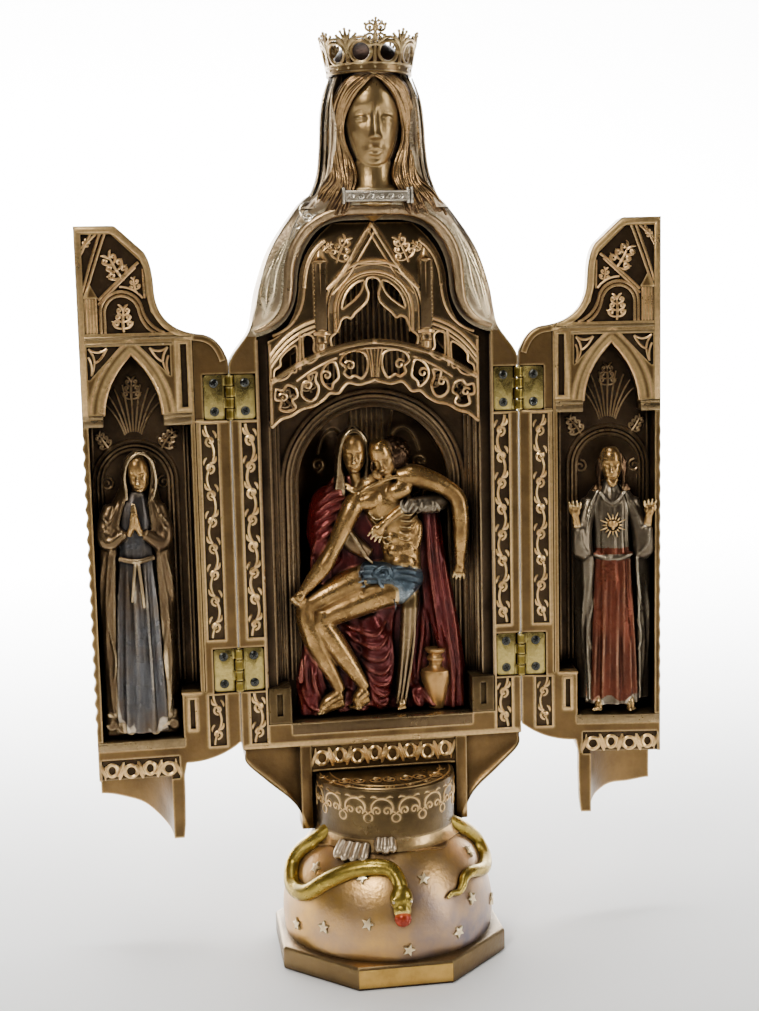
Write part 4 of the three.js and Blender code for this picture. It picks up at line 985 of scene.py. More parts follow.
def buildBodyTrim(mantle):
    pieces = []
    ground = surfaceOf(mantle)
    trim = []
    for side in (-1, 1):
        for x, y in body["shafts"]:
            trim += [(np.array([(side * x, y, 89), (side * x, y, 176.5)]), 0.78),
                (np.array([(side * (x + 0.8), y - 0.7, 89), (side * (x + 0.8), y - 0.7, 176)]), 0.35)]
        trim += [(np.array([(side * 37.9, 0.35, 90), (side * 37.9, 0.35, 203)]), 0.4),
            (np.array([(side * 34.6, 3, 90), (side * 34.6, 3, 176)]), 0.35)]
    for radius, y, thick in body["archRadii"]:
        line = chain([(radius, 89.6)], arc(0, body["spring"], radius, 0, 180, 40), [(-radius, 89.6)])
        trim += atDepth([(line, thick)], y)
    # the back wall's flutes, scroll brackets and sprays
    inner = [(np.array([(x, 168), (x, 179)]), 0.42) for x in np.arange(-7, 7.1, 1.75)]
    for side in (-1, 1):
        inner += [(curl(side * 17.5, 150, 3.2, 90, 480, side), 0.6),
            (curl(side * 17.5, 158, 2.4, 270, 480, -side), 0.5),
            (bow((side * 20.5, 140), (side * 17, 146), (side * 18.5, 151)), 0.55),
            (bow((side * 21.5, 120), (side * 19, 130), (side * 21, 140)), 0.5),
            (arc(side * 12, 160, 5.5, 20, 160, 16, 12), 0.5)]
    trim += laidOn(ground, inner, 0.2)
    spandrels = sprayLines(29, 184.5, 5, -40, 0.5, 3, 3) + sprayLines(21, 189, 4, -20, 0.45, 2, 4)
    trim += atDepth(bothSides(spandrels), 11.1)
    flutes = [(np.array([(x, 187), (x * 0.9, 226 - abs(x) * 0.8)]), 0.5) for x in np.arange(-14, 14.1, 2)]
    trim += atDepth(flutes, 14.8)
    pieces.append(paint(strands("nicheMouldings", trim, 8), "darkBronze"))
    right = [(0, 243), (8, 243), (14.5, 241.6), (20.6, 238), (24.8, 232.6), (27, 226), (27.6, 219),
        (28.6, 213.6), (31.4, 209.6), (35, 207.2), (38.4, 205.8)]
    rolled = [(line[0], tapered(len(line[0]), 2, (1, 0.45))) for line in bothSides([smooth(right, 1)])]
    pieces.append(paint(strands("mantleRim", laidOn(ground, rolled, 0.7), 14), "darkBronze"))
    drape = [[(25.4, 238), (29.4, 228), (31.4, 219), (34.4, 211.4)], [(29.4, 231), (33.2, 221.6),
        (35.2, 214), (37, 208.6)], [(-27.4, 234), (-31.4, 225), (-33, 217), (-35.4, 210)],
        [(-31.6, 228), (-35, 218), (-34.6, 211)]]
    soft = [smooth(line, tapered(8 * (len(line) - 1) + 1, 1.5, (0.25, 0.3)), 8) for line in drape]
    pieces.append(paint(strands("mantleFolds", laidOn(ground, soft, 0.66), 12), "mantle"))
    badge = [(curl(-20.8, 243, 1.9, 90, 560, 1, 26), 0.32), (arc(-20.8, 243, 2.5, 20, 340, 30), 0.26),
        (curl(-23.6, 239.4, 1.2, 60, 420, -1), 0.26), (bow((-23.4, 241.4), (-25.6, 238), (-26.6, 234.4)),
        0.3), (bow((-24.6, 238.4), (-25.4, 236), (-25.2, 233.6)), 0.26)]
    pieces.append(paint(strands("mantleBadge", laidOn(ground, badge, 0.1), 6), "silver"))
    front = []
    for side in (-1, 1):
        post = rectangle(30.2, 37.7, 77.6, 89.6)
        slot = rectangle(33.2, 34.9, 80.2, 87.4)
        front += [plate("cornerPost", [[(side * x, z) for x, z in post], [(side * x, z) for x, z in slot]],
            0.1, 11, 0.3), block("postBack", *sorted((side * 30.6, side * 37.4)), 1.2, 11, 78, 89)]
        ends = sorted((side * 38, side * 44.2))
        for low, high in ((106.3, 177.7), (71, 89.2)):
            frameLoop = rectangle(ends[0], ends[1], low, high)
            opening = rectangle(ends[0] + 0.6, ends[1] - 0.6, low + 0.6, high - 0.6)
            front.append(plate("fieldFrame", [frameLoop, opening], -0.1, 0.8, 0.2))
    front += [block("sill", -30.2, 30.2, -0.12, 3, 73.6, 77.5, 0.3), block("footBoard", -45.9, 45.9, -0.05,
        2, 69.8, 71, 0.3), block("sillLip", -30.4, 30.4, -0.2, 4, 76.9, 77.6, 0.25)]
    for piece in front:
        paint(piece, "plain" if piece.name == "sill" else "rim" if piece.name.startswith(("sill", "corner",
            "post")) else "bronze")
    scrolls = []
    for low, high, pitch in ((107.6, 176.6, 8.6), (72, 88.4, 8)):
        scrolls += bothSides(vineLines(41.1, low, high, 2.35, pitch, 0.62))
    gold = paint(strands("sideScrolls", atDepth(scrolls, 0.55), 6), "gold")
    return pieces + front + [gold]


def buildShrineBody():
    mantle = buildMantle()
    trim = buildBodyTrim(mantle)
    whole = joinPieces([mantle, *buildDrum(), *trim], "shrine_body_cast")
    return finishPiece(whole, "shrine", "antique_bronze", "shrine_body", angle=35)


buildShrineBody()

# doors, drawn as the right-hand one: x from the hinge axis outwards, y back from its face
doorPlan = {
    "width": 46.4,
    "face": 0.15,
    "niche": 12,
    "floor": 75,
    "middle": 28,
    "inner": 23.9,
    "lift": {"left": 6, "right": 0.6},
    "open": {"left": 1, "right": 9},
    "edgeWave": {"left": 0.4, "right": 0.12},
}


def hingeShift(mirror):
    return Matrix.Translation(Vector((mirror * hingeAxis[0], *hingeAxis[1:])) * mm)


def placeOnDoor(piece, side):
    mirror = -1 if side == "left" else 1
    turn = deg(doorPlan["open"][side]) * -mirror
    piece.data.transform(hingeShift(mirror) @ Matrix.Rotation(turn, 4, "Z")
        @ Matrix.Diagonal((mirror, 1, 1, 1)))
    if mirror < 0:
        piece.data.flip_normals()
    return piece


def doorOutline():
    return chain(bow((0.1, 197), (2.6, 204.4), (8, 205.3), 12), bow((8, 205.3), (21.6, 206.6), (22.4, 219),
        16)[1:], bow((22.4, 219), (22.6, 228), (25.2, 231.4), 8)[1:], [(33.4, 239), (34.4, 239.4)],
        [(46.4, 239.4), (46.4, 62), (19, 62)], bow((18, 66.6), (8, 66.4), (0.1, 72.5), 10))


def doorDepth(x, z):
    edge = clamp((z - 196) / 14) * 22
    across = clamp((doorPlan["width"] - x) / (doorPlan["width"] - edge))
    chest = clamp((z - 150) / 90)
    deepest = doorPlan["middle"] - 17 * chest ** 1.3
    fold = 1.1 * (np.cos(x / 1.478 + 0.4 * np.sin(z / 23)) + 0.3 * np.cos(x * 1.5 + z / 40)) * clamp(
        (190 - z) / 40)
    return 4.2 + (deepest - 4.2) * np.sqrt(1 - across ** 2) + fold * clamp((x - 4) / 4)


def doorOpening():
    right = bow((40.2, 177), (39.8, 191), (30.4, 200.2), 16)
    left = bow((30.4, 200.2), (21.4, 191), (20.8, 177), 16)
    return chain([(44.6, doorPlan["floor"]), (44.6, 177)], right, left[1:], [(12.6, 177), (12.6, 90),
        (18.6, 90), (18.6, doorPlan["floor"])])


def buildDoorShell(side):
    rings = []
    for z in np.linspace(60.5, 241, 210):
        x = np.linspace(0, doorPlan["width"], 64)
        back = np.c_[x, doorDepth(x, z), np.full(64, z)][::-1]
        front = [(0, doorPlan["face"], z)] + [(doorPlan["width"], y, z) for y in (doorPlan["face"], 3.2,
            5.5)]
        rings.append(chain(front, back))
    shell = cutAway(loft("doorShell", rings), prism("doorEdge", doorOutline(), -1, 50),
        operation="INTERSECT")
    # skirt that wraps the drum when shut
    lift = doorPlan["lift"][side]
    sweep = []
    for a in np.radians(np.linspace(0.5, 88.6, 60)):
        hem = 41.4 + 3.2 * easeStep(a, 0, 0.6) + lift * easeStep(a, 0.3, 1.4) + 0.35 * math.sin(a * 9)
        section = [(doorPlan["inner"], hem), (27.2, hem), (27.7, hem + 4), (28, 56), (28, 71),
            (doorPlan["inner"], 71)]
        fold = 0.35 * math.sin(a * 14)
        sweep.append([(hingeAxis[0] - (r + (fold if r > 25 else 0)) * math.cos(a),
            (r + (fold if r > 25 else 0)) * math.sin(a), z) for r, z in section])
    skirt = cutAway(loft("skirt", sweep), block("skirtFace", -1, doorPlan["width"], doorPlan["face"], 60,
        30, 72, 0), operation="INTERSECT")
    cutAway(shell, skirt, operation="UNION")
    bpy.ops.mesh.primitive_cylinder_add(vertices=96, radius=doorPlan["inner"] * mm, depth=30 * mm,
        location=(hingeAxis[0] * mm, 0, 47.4 * mm))
    drumRoom = bpy.context.object
    bpy.ops.object.transform_apply(location=True, rotation=True, scale=True)
    upperField = [(44.2, 236.8), (35, 236.8), (26.3, 228.4), (25.2, 226), (24.9, 218), (23.6, 212.6),
        (20.6, 208.6), (15, 206.2), (44.2, 206.2)]
    spandrels = [[(44, 202.2), (33.6, 202.2), (43.4, 191.8), (44, 192)], [(27.6, 202.2), (18.2, 202.2),
        (18.2, 192.4)]]
    tools = [drumRoom, prism("doorNiche", doorOpening(), -1, doorPlan["niche"]),
        prism("upperField", upperField, -1, 1.1)]
    tools += [prism("spandrel", outline, -1, 0.95) for outline in spandrels]
    tools += [block("bed", *span, 0) for span in ((-1, 8.4, -1, 1.8, 177.8, 192.6),
        (-1, 8.4, -1, 1.8, 89.1, 103.9), (0, 11, -1, 0.75, 178.4, 206), (13.1, 15, -1, 1.1, 182.6, 202.4),
        (4.2, 9.6, -1, 0.7, 107, 177), (4.8, 10.2, -1, 0.7, 71.6, 88.6), (14.8, 16.3, -1, 0.9, 78, 87.6),
        (20.4, 45.4, -1, 0.8, 61.6, 69.2), (10.95, 11.3, -1, 0.8, 90, 206))]
    cutAway(shell, *tools)
    points = pointsOf(shell)
    edge = clamp((points[:, 0] - 45.6) / 0.6) * clamp((points[:, 2] - 78) / 4) * clamp(
        (176 - points[:, 2]) / 4)
    edge = edge * clamp((5.5 - points[:, 1]) / 2.2)
    points[:, 0] += edge * doorPlan["edgeWave"][side] * np.sin(points[:, 2] * 1.3)
    setPoints(shell, points)
    shell.data.materials.clear()
    for name in ("bronze", "darkBronze", "mantle"):
        shell.data.materials.append(finishes[name])
    for face in shell.data.polygons:
        x, y, z = face.center / mm
        if 12.5 < x < 44.8 and 74.9 < z < 200.5 and 0.2 < y < 12.1:
            face.material_index = 1
        elif y > 3 and z > 70:
            face.material_index = 2
        elif 0.6 < y < 1.12 and face.normal.y < -0.9 and (x > 11 or z < 178):
            face.material_index = 1
    return shell


def buildDoorRelief(side):
    w = doorPlan["face"]
    rimPath = chain(bow((0.9, 197), (2.9, 203.9), (8, 204.9), 10), bow((8, 204.9), (22, 206.3),
        (22.8, 219), 16)[1:], bow((22.8, 219), (23, 227.8), (25.5, 231.1), 8)[1:],
        [(33.6, 238.6), (34.6, 239), (46, 239)])
    normal = np.gradient(rimPath, axis=0)
    normal = np.c_[normal[:, 1], -normal[:, 0]] / np.linalg.norm(normal, axis=1)[:, None]
    wide = 1.9
    rim = [plate("rim", [chain(rimPath, (rimPath + normal * wide)[::-1])], -0.1, 1, 0.4),
        plate("rim", [[(46.3, 239), (44.3, 237.2), (44.3, 180.5), (46.3, 180.5)]], -0.1, 1, 0.4)]
    rim += [block("moulding", 11.2, 44.6, -0.1, 1.3, 204.3, 205.3, 0.3), block("moulding", 17.4, 44.4,
        0.05, 1.2, 202.5, 203.3, 0.25)]
    for x0, x1 in ((12.2, 21), (39.9, 46.3)):
        rim += [block("springer", x0, x1, -0.05, 6, 177, 179.4, 0.3), block("springerCap", x0 - 0.2, x1,
            -0.1, 6.2, 179.6, 180.7, 0.25)]
    rim += [block("ledge", 18.4, 46.2, -0.1, 8, 72.2, 75.1, 0.3), block("ledgeLip", 18.3, 46.3, -0.15, 8,
        74.5, 75.2, 0.25), block("blockTop", 12.3, 18.9, -0.1, 4, 89.3, 90.2, 0.25),
        block("shelf", 0.9, 11.2, -0.08, 0.6, 177.3, 178, 0.2),
        plate("slotFrame", [rectangle(11.9, 16.8, 181.3, 203.6), rectangle(13.1, 15.1, 182.6, 202.4)], 0,
        0.8, 0.25), plate("slotFrame", [rectangle(13.9, 17.2, 77, 88.5), rectangle(14.8, 16.3, 78, 87.6)],
        0, 0.8, 0.2)]
    rim += [plate("fieldFrame", [rectangle(x0, x1, low, high), rectangle(x0 + 0.6, x1 - 0.6, low + 0.6,
        high - 0.6)], 0, 0.8, 0.2) for x0, x1, low, high in ((3.7, 10.1, 106.4, 177.4),
        (4.3, 10.7, 71.1, 89.1))]
    rim += [block("pinnacle", 40.1, 44.3, 0.45, 1.3, 206, 217.2, 0.15),
        plate("pinnacleCap", [[(39.7, 217.1), (44.6, 217.1), (42.2, 221.8)]], 0.05, 1.3, 0.25)]
    lines = [(np.array([(x, 206.2), (x, 217)]), 0.32) for x in (40.5, 41.5, 42.5, 43.5)]
    for shift in (0, 1.5):
        lines += [(bow((38.4 - shift, 237), (41.5 - shift, 229), (44.6 - shift * 0.4, 218.6 - shift), 14),
            0.5), (bow((26.9 + shift * 0.7, 228.1 - shift), (33 + shift * 0.4, 223 - shift),
            (39.6, 216.6 - shift * 0.9), 12), 0.5),
            (np.array([(44.6, 232.4 - shift * 1.3), (39.6 + shift * 1.1, 236.9)]), 0.45)]
        low = chain([(39.2 - shift * 0.8, 206.3)], arc(32.7, 212.6, 6.5 - shift * 0.8, 0, 158, 22),
            bow((26.4 + shift * 0.7, 214), (25.2 + shift, 208.4), (19.6 + shift * 2, 206.1), 10))
        lines.append((low, 0.55))
    lines += [(np.array([(25.6, 226), (25.4, 217)]), 0.4), (bow((26, 217), (28.5, 220.5), (33, 220.6)),
        0.4)]
    opening = chain(bow((39.7, 180.6), (39.3, 191.4), (30.4, 199.9), 14), bow((30.4, 199.9), (21.4, 191.4),
        (21.1, 180.6), 14)[1:])
    outer = chain(bow((43.6, 181), (43, 194), (30.6, 204.2), 16), bow((30.6, 204.2), (18.9, 194),
        (17.9, 181), 16)[1:])
    middle = (opening * 0.62 + chain(bow((43.6, 181), (43, 194), (30.6, 204.2), 14),
        bow((30.6, 204.2), (18.9, 194), (17.9, 181), 14)[1:]) * 0.38)
    lines += [(opening, 0.6), (outer, 0.5), (middle, 0.3)]
    for corner, foot in ((44, 43.3), (18.3, 18.4)):
        to = -1 if corner > 30 else 1
        lines += [(bow((corner + to * 0.6, 201.6), (corner + to * 3.4, 199.4), (corner + to * 6.2, 201.5)),
            0.42), (bow((corner + to * 6.2, 201.5), (corner + to * 4.2, 197.6),
            (corner + to * 2.3, 197.2)), 0.42),
            (bow((corner + to * 2.3, 197.2), (corner + to * 2.2, 199.6), (corner + to * 0.6, 201.6)),
            0.42), (bow((corner + to * 0.4, 199), (corner + to * 1.7, 196.6), (foot + to * 0.5, 193.2)),
            0.42), (bow((corner + to * 2.2, 197), (corner + to * 2, 195), (foot + to * 0.6, 193.2)), 0.36)]
    lines += sprayLines(34.4, 227.2, 5.4, -32, 0.5, 3, 11 if side == "left" else 21)
    lines += sprayLines(32.2, 211.2, 4.6, 0, 0.5, 3, 12 if side == "left" else 22)
    lines += sprayLines(28.4, 221.6, 2.4, -10, 0.36, 2, 13) + sprayLines(42.4, 234.4, 1.6, 40, 0.3, 2, 14)
    relief = strands("doorRelief", atDepth(lines, w + 0.45), 8)
    gold = vineLines(6.9, 107.6, 176.4, 2.3, 8.6, 0.5) + vineLines(7.5, 72, 88.4, 2.2, 8, 0.48)
    gold += ringLines(20.8, 45.2, 61.8, 69, 4, 0.62)
    goldwork = strands("doorGold", atDepth(gold, w + 0.42), 6)
    back = [(chain([(30.6 + radius, 92)], arc(30.6, 158, radius, 0, 180, 36), [(30.6 - radius, 92)]),
        thick) for radius, thick in ((13.4, 0.7), (11.9, 0.5), (10.6, 0.6))]
    back += [(np.array([(x, 91), (x, 177)]), 0.5) for x in (13.4, 14.5, 43.9)]
    for i in range(9):
        a = deg(90 + (i - 4) * 15)
        back.append((bow((30.6 + 3 * math.cos(a), 172.5 + 2 * math.sin(a)),
            (30.6 + 6 * math.cos(a), 180 + 3 * math.sin(a)), (30.6 + 11 * math.cos(a),
            178 + 12 * math.sin(a))), 0.38))
    back += sprayLines(19.4, 172, 4.2, 35, 0.5, 3, 31) + sprayLines(40.4, 172, 3.6, -35, 0.45, 3, 32)
    back += sprayLines(30.6, 188.5, 4.6, 0, 0.42, 3, 33)
    back += [(curl(21.5, 160, 2.2, 90, 480, -1), 0.42), (curl(39.5, 160, 2.2, 90, 480, 1), 0.42)]
    niche = strands("nicheRelief", atDepth(back, doorPlan["niche"] - 0.2), 8)
    for piece in rim:
        paint(piece, "rim" if piece.name.startswith(("ledge", "springer", "moulding")) else "bronze")
    return rim + [paint(relief, "tracery"), paint(goldwork, "gold"), paint(niche, "darkBronze")]


def buildDoor(side):
    door = joinPieces([buildDoorShell(side), *buildDoorRelief(side)], side + "_door_cast")
    placeOnDoor(door, side)
    return finishPiece(door, side + "_door", "antique_bronze", side + "_door", angle=35)


for side in ("left", "right"):
    buildDoor(side)

# figure work
def placed(pieces, centre, size=1, turn=(0, 0, 0)):
    spin = spinOf(turn)
    for piece in pieces:
        piece.data.transform(Matrix.Translation(Vector(centre) * mm) @ spin
            @ Matrix.Diagonal((size, size, size, 1)))
    return pieces


# the one face of the set, shrunk to a unit from middle to chin, on a plain skull
def faceParts():
    shell = faceShell("smallFace", 1.9)
    setPoints(shell, (pointsOf(shell) - (head["x"], 2.2, 268.5)) / 13.6 * (1.08, 1.12, 1))
    return [shell, ball("skull", (0, 0.25, 0.3), (0.84, 0.84, 0.92)),
        limb("nose", [(0, -0.78, 0.3), (0, -0.95, 0), (0, -1.16, -0.22)], [0.07, 0.1, 0.15])]


# palm, thumb and four fingers; it reaches along aim and is broad along across
def handParts(wrist, aim, across, size, bend=0.4, open=0.16):
    wrist, aim, across = (Vector(v) for v in (wrist, aim, across))
    aim.normalize()
    across = (across - aim * across.dot(aim)).normalized()
    inward = aim.cross(across)
    parts = [limb("palm", [wrist - aim * size * 0.3, wrist + aim * size * 0.35 - across * size * 0.1,
        wrist + aim * size * 0.75 - across * size * 0.12], [size * 0.26, size * 0.34, size * 0.28]),
        limb("palm", [wrist, wrist + aim * size * 0.4 + across * size * 0.14, wrist + aim * size * 0.75
        + across * size * 0.16], [size * 0.24, size * 0.32, size * 0.26])]
    for i in range(4):
        out = (i - 1.5) * open * 1.35
        long = size * (0.75, 0.88, 0.84, 0.66)[i]
        root = wrist + aim * size * 0.75 + across * out * size * 1.35
        way = (aim + across * out * 0.5).normalized()
        knuckle = root + way * long * 0.45 + inward * long * bend * 0.18
        tip = root + way * long * (0.95 - bend * 0.3) + inward * long * bend * 0.75
        parts.append(limb("finger", [root, knuckle, tip], [size * 0.12, size * 0.115, size * 0.085], 10, 4))
    thumb = wrist + aim * size * 0.3 - across * size * 0.3
    parts.append(limb("thumb", [thumb, thumb + aim * size * 0.35 - across * size * 0.2
        + inward * size * 0.1, thumb + aim * size * 0.72 - across * size * 0.14 + inward * size * 0.2],
        [size * 0.16, size * 0.14, size * 0.1], 10, 4))
    return parts


def footParts(ankle, toe, wide):
    ankle, toe = Vector(ankle), Vector(toe)
    way = toe - ankle
    flat = Vector((way.x, way.y, 0)).normalized()
    across = Vector((0, 0, 1)).cross(flat)
    heel = Vector((ankle.x, ankle.y, (ankle.z + toe.z) / 2)) - flat * wide * 0.12
    instep = ankle.lerp(toe, 0.5) + Vector((0, 0, wide * 0.12))
    parts = [limb("foot", [ankle, instep, toe - flat * wide * 0.5], [wide * 0.55, wide * 0.52,
        wide * 0.36]), limb("foot", [heel, heel.lerp(toe, 0.5), toe - flat * wide * 0.6],
        [wide * 0.48, wide * 0.42, wide * 0.36])]
    for i in range(5):
        root = toe - flat * wide * 0.6 + across * wide * 0.2 * (i - 2)
        size = wide * (0.2, 0.15, 0.14, 0.13, 0.12)[i]
        parts.append(limb("toe", [root, root + flat * wide * (0.66 - 0.07 * i)
            + Vector((0, 0, -wide * 0.05))], [size, size * 0.85], 10, 4))
    return parts


# a standing robe: rows are z, middle x, middle y, half width, half depth and the depth of its folds
def robe(name, rows, count, seed, sides=120, sharp=0.6):
    wander = np.random.default_rng(seed)
    shift = wander.uniform(0, 2 * pi, 3)
    angle = around(sides)
    rings = []
    for z, x, y, half, deep, fold in bendThrough(rows, 7):
        wave = np.cos(count * angle + shift[0] + 0.5 * math.sin(z / 17)) + 0.45 * np.cos(
            count * 1.7 * angle + shift[1] + z / 30)
        wave = np.sign(wave) * np.abs(wave) ** sharp
        grow = fold * wave
        rings.append(np.c_[x + (half + grow) * np.sin(angle), y - (deep + grow) * np.cos(angle),
            np.full(sides, z)])
    return loft(name, rings)


# an open cloak: the last value of a row is the half angle left open in front
def cloak(name, rows, thick, count, seed, sides=110):
    shift = np.random.default_rng(seed).uniform(0, 2 * pi)
    rings = []
    for z, x, y, half, deep, fold, gap in bendThrough(rows, 7):
        angle = np.linspace(gap, 2 * pi - gap, sides)
        grow = fold * np.cos(count * angle + shift + 0.4 * math.sin(z / 15))
        outer = np.c_[x + (half + grow) * np.sin(angle), y - (deep + grow) * np.cos(angle)]
        inner = np.c_[x + (half + grow - thick) * np.sin(angle), y - (deep + grow - thick) * np.cos(angle)][
            ::-1]
        rings.append(np.c_[chain(outer, inner), np.full(2 * sides, z)])
    return loft(name, rings)


def foldsOn(piece, lines, thick, sink=0.35, start=-60):
    made = laidOn(surfaceOf(piece), [smooth(line, 1) for line in lines], 0, start)
    out = []
    for i, (line, _) in enumerate(made):
        size = thick[i] if isinstance(thick, (list, tuple)) else thick
        radii = tapered(len(line), size, (0.3, 0.3))
        line[:, 1] += sink * radii
        out.append((line, radii))
    return strands("folds", out, 8)


def curlsOn(centre, radii, count, size, keep, seed):
    wander = np.random.default_rng(seed)
    lines = []
    for i in range(count):
        share = (i + 0.5) / count
        tilt, round_ = math.acos(1 - 2 * share), pi * (1 + 5 ** 0.5) * i
        normal = Vector((math.sin(tilt) * math.cos(round_), math.sin(tilt) * math.sin(round_),
            math.cos(tilt)))
        if not keep(normal):
            continue
        a = normal.orthogonal().normalized()
        b = normal.cross(a)
        t = np.linspace(0, 1, 14)
        turns = t * 9.5 + wander.uniform(0, 6)
        r = size * (1 - 0.75 * t)
        middle = np.array([centre[k] + radii[k] * normal[k] for k in range(3)])
        line = middle + (r * np.cos(turns))[:, None] * np.array(a) + (r * np.sin(turns))[:,
            None] * np.array(b) + (t * size * 0.5)[:, None] * np.array(normal)
        lines.append((line, tapered(14, size * 0.34, (0.6, 0.9))))
    return strands("curls", lines, 8)


# head, hair and veil
head = {
    "x": 0.4,
    "face": [(253.5, 2.2, 1.6), (255.2, 3.6, 5.2), (256.4, 5, 8.2), (258.5, 6.5, 9.6), (261.5, 7.9, 10.3),
        (265.5, 9, 10.8), (269.5, 9.7, 11), (273.5, 9.9, 11.3), (277.5, 9.7, 11.4), (281.5, 8.9, 10.9),
        (285, 7.5, 9.4), (288, 5, 6.5)],
    "veil": [(243.5, 24.5, 20.5), (246, 22, 19.6), (249, 19.4, 17.8), (254.6, 17.4, 16), (261, 16.6, 15.8),
        (266, 16.2, 15.8), (272, 15.8, 16), (278, 14.8, 15), (282, 13.4, 13.4), (284.4, 12.2, 12.2),
        (288, 11, 11)],
    "brow": 274,
    "eyes": 271,
    "eyeApart": 4.1,
    "noseBase": 264.4,
    "mouth": 261,
}


def faceShell(name, relief=1):
    rings = []
    angle = around(160)
    for z, half, front in bendThrough(head["face"], 9):
        across, ahead = np.sin(angle), np.cos(angle)
        reach = np.where(ahead > 0, front * np.abs(ahead) ** 0.88, 4 * np.abs(ahead))
        rings.append(np.c_[head["x"] + half * across, 3 - np.sign(ahead) * reach, np.full(160, z)])
    face = loft(name, rings)
    points = pointsOf(face)
    u, z = points[:, 0] - head["x"], points[:, 2]
    front = clamp((1 - points[:, 1]) / 4)
    brow, eyes, under, mouth = head["brow"], head["eyes"], head["noseBase"], head["mouth"]

    def bump(x0, z0, wide, tall, push):
        return push * np.exp(-((u - x0) / wide) ** 2 - ((z - z0) / tall) ** 2)
    push = np.zeros(len(points))
    fall = clamp((brow + 0.5 - z) / (brow - under - 0.4))
    tip = clamp((z - under + 0.5) / 0.8)
    push += (0.12 + 1.75 * fall ** 1.1) * np.exp(-(u / (0.75 + 0.55 * fall)) ** 2) * clamp((brow + 2
        - z) / 2) * tip
    push += bump(0, under + 0.9, 1.05, 0.95, 0.45)
    for side in (-1, 1):
        x0 = side * head["eyeApart"]
        push += bump(side * 1.3, under + 0.5, 0.62, 0.7, 0.8)
        push -= bump(x0 * 0.95, eyes + 0.4, 2.5, 1.9, 1.25)
        push -= bump(side * 1.9, eyes + 0.8, 1.2, 1.9, 0.4)
        push += bump(x0, eyes - 0.05, 1.9, 1.2, 1.05)
        push += bump(x0 * 1.02, brow + 1.2, 3.2, 1.9, 0.22)
        push += bump(side * 5.2, 267, 2.4, 2.8, 0.4)
        push -= bump(side * 3.4, 262.6, 0.9, 1.2, 0.3)
    push -= bump(0, under - 1.3, 0.7, 0.9, 0.25)
    push += bump(0, mouth, 2.6, 1.5, 0.6)
    push -= bump(0, mouth - 2.5, 2, 0.7, 0.5)
    push += bump(0, 256.6, 2.5, 1.7, 0.6)
    points[:, 1] -= relief * push * front
    setPoints(face, points)
    return face


def buildFace():
    face = faceShell("face")
    eyes, mouth = head["eyes"], head["mouth"]
    lines = []
    for side in (-1, 1):
        x0 = head["x"] + side * head["eyeApart"]
        lines += [(bow((x0 - 2.1, eyes - 0.5), (x0 + side * 0.2, eyes - 0.9 + 1.6), (x0 + 2.1, eyes - 0.5),
            14), tapered(14, 0.3, (0.4, 0.4))),
            (bow((x0 - 1.8, eyes - 0.7), (x0, eyes - 1.7), (x0 + 1.8, eyes - 0.7), 12),
            tapered(12, 0.2, (0.4, 0.4))),
            (bow((x0 - 2.1, eyes + 1.2), (x0, eyes + 2.7), (x0 + 2.2, eyes + 1.1), 12),
            tapered(12, 0.2, (0.3, 0.3)))]
    c = head["x"]
    upper = bendThrough([(c - 2.5, mouth - 0.1), (c - 1.2, mouth + 0.42), (c - 0.5, mouth + 0.66),
        (c, mouth + 0.5), (c + 0.5, mouth + 0.66), (c + 1.2, mouth + 0.42), (c + 2.5, mouth - 0.1)], 4)
    lines += [(upper, tapered(len(upper), 0.42, (0.3, 0.3))),
        (bow((c - 2, mouth - 0.6), (c, mouth - 1.5), (c + 2, mouth - 0.6), 14),
        tapered(14, 0.46, (0.3, 0.3)))]
    features = strands("features", laidOn(surfaceOf(face), [(line, radii * 1.25) for line, radii in lines],
        0.3), 10)
    neck = limb("neck", [(0.4, 2.2, 258), (0.4, 1.4, 252), (0.4, 0.8, 248), (0.4, 0.8, 244.6)],
        [7.4, 7.2, 7.8, 9], 40)
    throat = ball("throat", (0.4, 1.6, 248.4), (12.5, 8.8, 3.4), segments=48, rings=24)
    return paint(fuse([face, features, neck, throat], "face", 0.24, 1, 0.3), "faceBronze")


def hairGuides():
    locks = []
    for side in (-1, 1):
        for k in range(12):
            s = k / 11
            flare = (0.8 if side > 0 else 0.35) * s
            top = (side * (0.25 + 1 * s), -8.8 + 2.6 * s, 283.6 + 0.7 * s)
            route = [top, (side * (3.2 + 1.9 * s), -9 + 2 * s, 281.6 + 2.1 * s),
                (side * (7.2 + 2.5 * s), -6.6 + 1.2 * s, 277.6 + 2.6 * s),
                (side * (9.4 + 3.4 * s), -3 - 0.2 * s, 271 + 1.8 * s), (side * (9.6 + 4.4 * s), -2.2, 264),
                (side * (7.6 + 5.8 * s), -2.6 + 0.6 * s, 257.2), (side * (6.6 + 7.2 * s + 1.2 * flare),
                -4.6 + 1.4 * s, 252.2), (side * (7.6 + 8.2 * s + 3 * flare), -6.3 + 2.2 * s, 248.4),
                (side * (9.4 + 8.6 * s + 5 * flare), -7.4 + 3.2 * s, 244)]
            locks.append((side, s, [(head["x"] + x, y, z) for x, y, z in route]))
            locks[-1][2][-1] = (locks[-1][2][-1][0] + side * 0.6, -6.4 + 2.8 * s,
                242.6 - 1.6 * math.sin(k * 2.4))
    return locks


